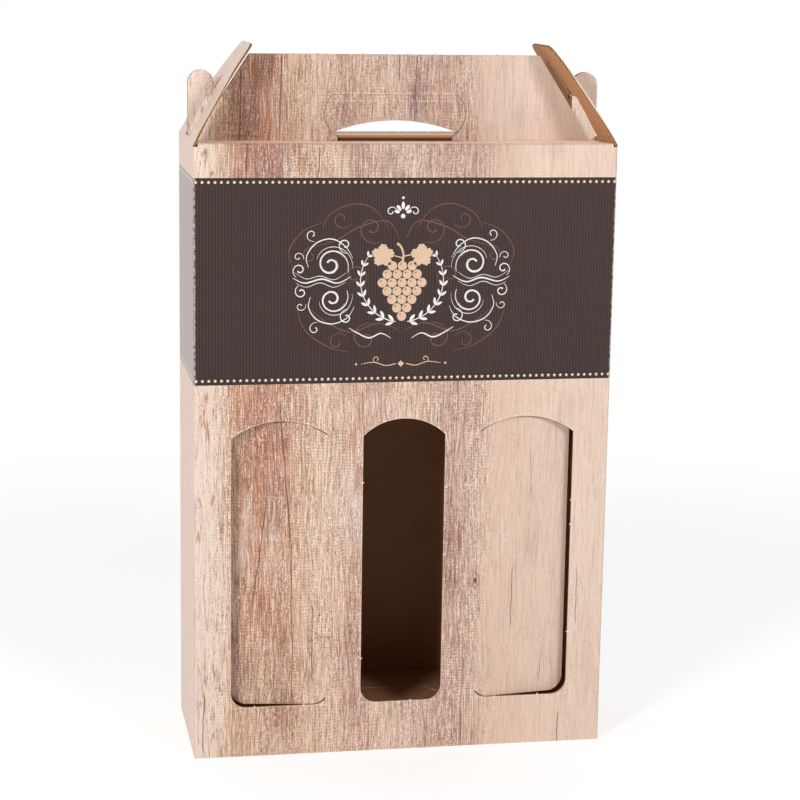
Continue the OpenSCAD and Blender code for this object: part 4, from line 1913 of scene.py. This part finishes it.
    def divider(self, ink: bpy.types.Material) -> None:
        """Prints the small divider under the ornament.

        Args:
            ink: Its ink.
        """
        level = -49.0
        lines = [
            self.sweep([(3.0, level), (9.0, level - 1), (16.0, level + 1), (24.0, level)],
                       (0.5, 0.4, 0.1)),
            self.volute((14.5, level + 2.8), (2.3, 0.8), (-90, 250), (0.2, 0.35, 0.4)),
        ]
        self.strokes("divider_ink", lines, ink, 1)
        mesh = bmesh.new()
        self.disc(mesh, 0.0, level, 1.9, 1.9, 0.0, 4)
        for side in (1, -1):
            self.disc(mesh, side * 26.5, level, 0.7, 0.7, 0.0, 12)
        self.finish("divider_bead_ink", mesh, ink, 1)

    def build(self) -> None:
        """Prints the whole ornament."""
        cream = Ink("cream_ink", (212, 181, 155)).material()
        white = Ink("white_ink", (232, 226, 220)).material()
        faint = Ink("faint_ink", (106, 74, 69)).material()
        dark = Ink("shine_ink", (150, 112, 88)).material()
        self.scrolls(white, faint)
        self.laurels(white)
        self.finial(white)
        self.grapes(cream, dark)
        self.divider(cream)


@dataclass(frozen=True)
class Softbox:
    """A square studio lamp that faces the object."""

    name: str
    place: tuple[float, float, float]
    size: float
    power: float
    aim: tuple[float, float, float] = (0.0, 0.0, 0.2)

    def build(self) -> None:
        """Adds the lamp."""
        data = bpy.data.lights.new(self.name, "AREA")
        data.shape, data.size, data.energy = "SQUARE", self.size, self.power
        lamp = bpy.data.objects.new(self.name, data)
        lamp.location = self.place
        lamp.rotation_euler = (Vector(self.aim) - Vector(self.place)).to_track_quat(
            "-Z", "Y").to_euler()
        bpy.context.scene.collection.objects.link(lamp)


@dataclass(frozen=True)
class Studio:
    """The camera at the photograph's viewpoint, the white room and its pale floor."""

    camera_place: tuple[float, float, float] = (-0.2364, -1.2881, 0.4653)
    camera_turn: tuple[float, float, float] = (78.7943, -0.8912, -10.4724)
    lens: float = 98.794
    sensor: float = 36.0
    floor_reach: float = 6.0
    floor_pale: Colour = (0.86, 0.86, 0.86, 1.0)
    floor_half: Colour = (0.5, 0.5, 0.5, 1.0)
    floor_glow: float = 0.62
    shadow_near: float = 0.36
    shadow_far: float = 0.9
    front_light: float = 0.03
    back_light: float = 0.95
    lamps: tuple[Softbox, ...] = (
        Softbox("softbox_left", (-1.58, -1.86, 1.02), 0.5, 33.0),
        Softbox("softbox_right", (1.02, -2.2, 1.02), 0.5, 23.5),
    )

    def camera(self) -> None:
        """Adds the camera."""
        data = bpy.data.cameras.new("camera")
        data.lens, data.sensor_width, data.sensor_fit = self.lens, self.sensor, "HORIZONTAL"
        data.clip_start, data.clip_end = 0.01, 50.0
        camera = bpy.data.objects.new("camera", data)
        camera.location = self.camera_place
        camera.rotation_euler = Euler([math.radians(turn) for turn in self.camera_turn])
        bpy.context.scene.collection.objects.link(camera)
        bpy.context.scene.camera = camera

    def room(self) -> None:
        """Lights the object evenly and shows a white room behind it."""
        world = bpy.data.worlds.new("room")
        bpy.context.scene.world = world
        g = Graph(world)
        seen = g.seen()
        parts = g.add("ShaderNodeSeparateXYZ", None, {
            0: g.add("ShaderNodeTexCoord").outputs["Generated"]})
        level = g.add("ShaderNodeMapRange", None, {
            "Value": parts.outputs["Y"], "From Min": -1.0, "To Min": self.front_light,
            "To Max": self.back_light})
        dim = g.add("ShaderNodeBackground", None, {
            "Color": WHITE, "Strength": level.outputs["Result"]})
        bright = g.add("ShaderNodeBackground", None, {"Color": WHITE})
        mix = g.add("ShaderNodeMixShader", None, {0: seen, 1: dim.outputs[0], 2: bright.outputs[0]})
        g.add("ShaderNodeOutputWorld", None, {0: mix.outputs[0]})

    def floor(self) -> None:
        """Lays the pale floor, which shows the object's soft shadow near it and is white beyond."""
        mesh = bmesh.new()
        bmesh.ops.create_grid(mesh, x_segments=1, y_segments=1, size=self.floor_reach)
        g = Graph(bpy.data.materials.new("floor"))
        pale = g.add("ShaderNodeBsdfDiffuse", None, {"Color": self.floor_pale})
        half = g.add("ShaderNodeBsdfDiffuse", None, {"Color": self.floor_half})
        glow = g.add("ShaderNodeEmission", None, {"Strength": self.floor_glow})
        shown = g.add("ShaderNodeAddShader", None, {0: half.outputs[0], 1: glow.outputs[0]})
        length = g.add("ShaderNodeVectorMath", {"operation": "LENGTH"}, {
            0: g.add("ShaderNodeTexCoord").outputs["Object"]})
        far = Value(g, length.outputs["Value"]).rise(self.shadow_near, self.shadow_far)
        white = g.add("ShaderNodeEmission", None, {"Strength": 1.0})
        fading = g.add("ShaderNodeMixShader", None, {
            0: far, 1: shown.outputs[0], 2: white.outputs[0]})
        mix = g.add("ShaderNodeMixShader", None, {
            0: g.seen(), 1: pale.outputs[0], 2: fading.outputs[0]})
        g.add("ShaderNodeOutputMaterial", None, {"Surface": mix.outputs[0]})
        put("floor", mesh, [g.owner])

    def build(self) -> None:
        """Builds the camera, the room, the lamps and the floor."""
        self.camera()
        self.room()
        for lamp in self.lamps:
            lamp.build()
        self.floor()
        bpy.context.scene.view_settings.view_transform = "Standard"


def creases(paper: bpy.types.Material) -> list[Crease]:
    """Lists the strips of paper that cross the five folds.

    Args:
        paper: The printed finish.

    Returns:
        The creases.
    """
    box = BoardPiece("carton")
    window_low, window_high, flap_half = 34.4, 195.4, 46.0
    grip_y, grip_z, grip_reach = -1.0, 389.4, 3.4
    found = []
    for side, word in ((-1, "left"), (1, "right")):
        window, flap = WindowFlap(word, side=side), SideFlap(word, side=side)
        found.append(Crease(
            word + "_window_flap", paper,
            Vector((side * window.fold_x, -box.half_d + box.board / 2, 0)),
            Vector((0, 0, side)), Vector((0, -1, 0)), window.rest,
            window_low * side, window_high * side,
            lambda step, place, side=side, window=window: (
                side * (window.fold_x + step), abs(place))))
        found.append(Crease(
            word + "_side_flap", paper,
            Vector((side * (box.half_w - box.board / 2), 0, box.roof_z - box.board / 2)),
            Vector((0, -side, 0)), Vector((side, 0, 0)),
            math.pi / 2 - flap.angle, -flap_half, flap_half,
            lambda step, place, side=side: (
                side * (box.half_w - side * place + box.half_d), box.side_sheet + step)))
    roof = box.side_sheet + box.half_d - box.board - box.board
    found.append(GripCrease(
        "grip_flap", paper, Vector((0, grip_y, grip_z)), Vector((1, 0, 0)), Vector((0, -1, 0)), 0.0,
        0.0, 0.0, lambda step, place: (place, roof + grip_z - step - box.roof_z),
        flap_reach=grip_reach))
    return found


def main() -> None:
    """Builds the studio and every piece of the carrier."""
    logging.basicConfig(level=logging.INFO, format="%(name)s: %(message)s")
    Studio().build()
    board = [PrintedBoard().material(), KraftBoard().material(), CutEdge().material()]
    Carton("carton", board).build()
    for side, word in ((-1, "left"), (1, "right")):
        SideFlap(word + "_side_flap", board, side=side).build()
        WindowFlap(word + "_window_flap", board, side=side).build()
    GripFlap("grip_flap", board).build()
    for crease in creases(board[Finish.PRINT.value]):
        crease.build()
    Ornament().build()
    Nicks("handle_nicks", Ink("torn_kraft", (219, 176, 132), 0.5).material(), handle_nicks()).build()
    Nicks("window_nicks", Ink("torn_paper", (236, 222, 208), 0.4).material(), window_nicks()).build()


if __name__ == "__main__":
    main()
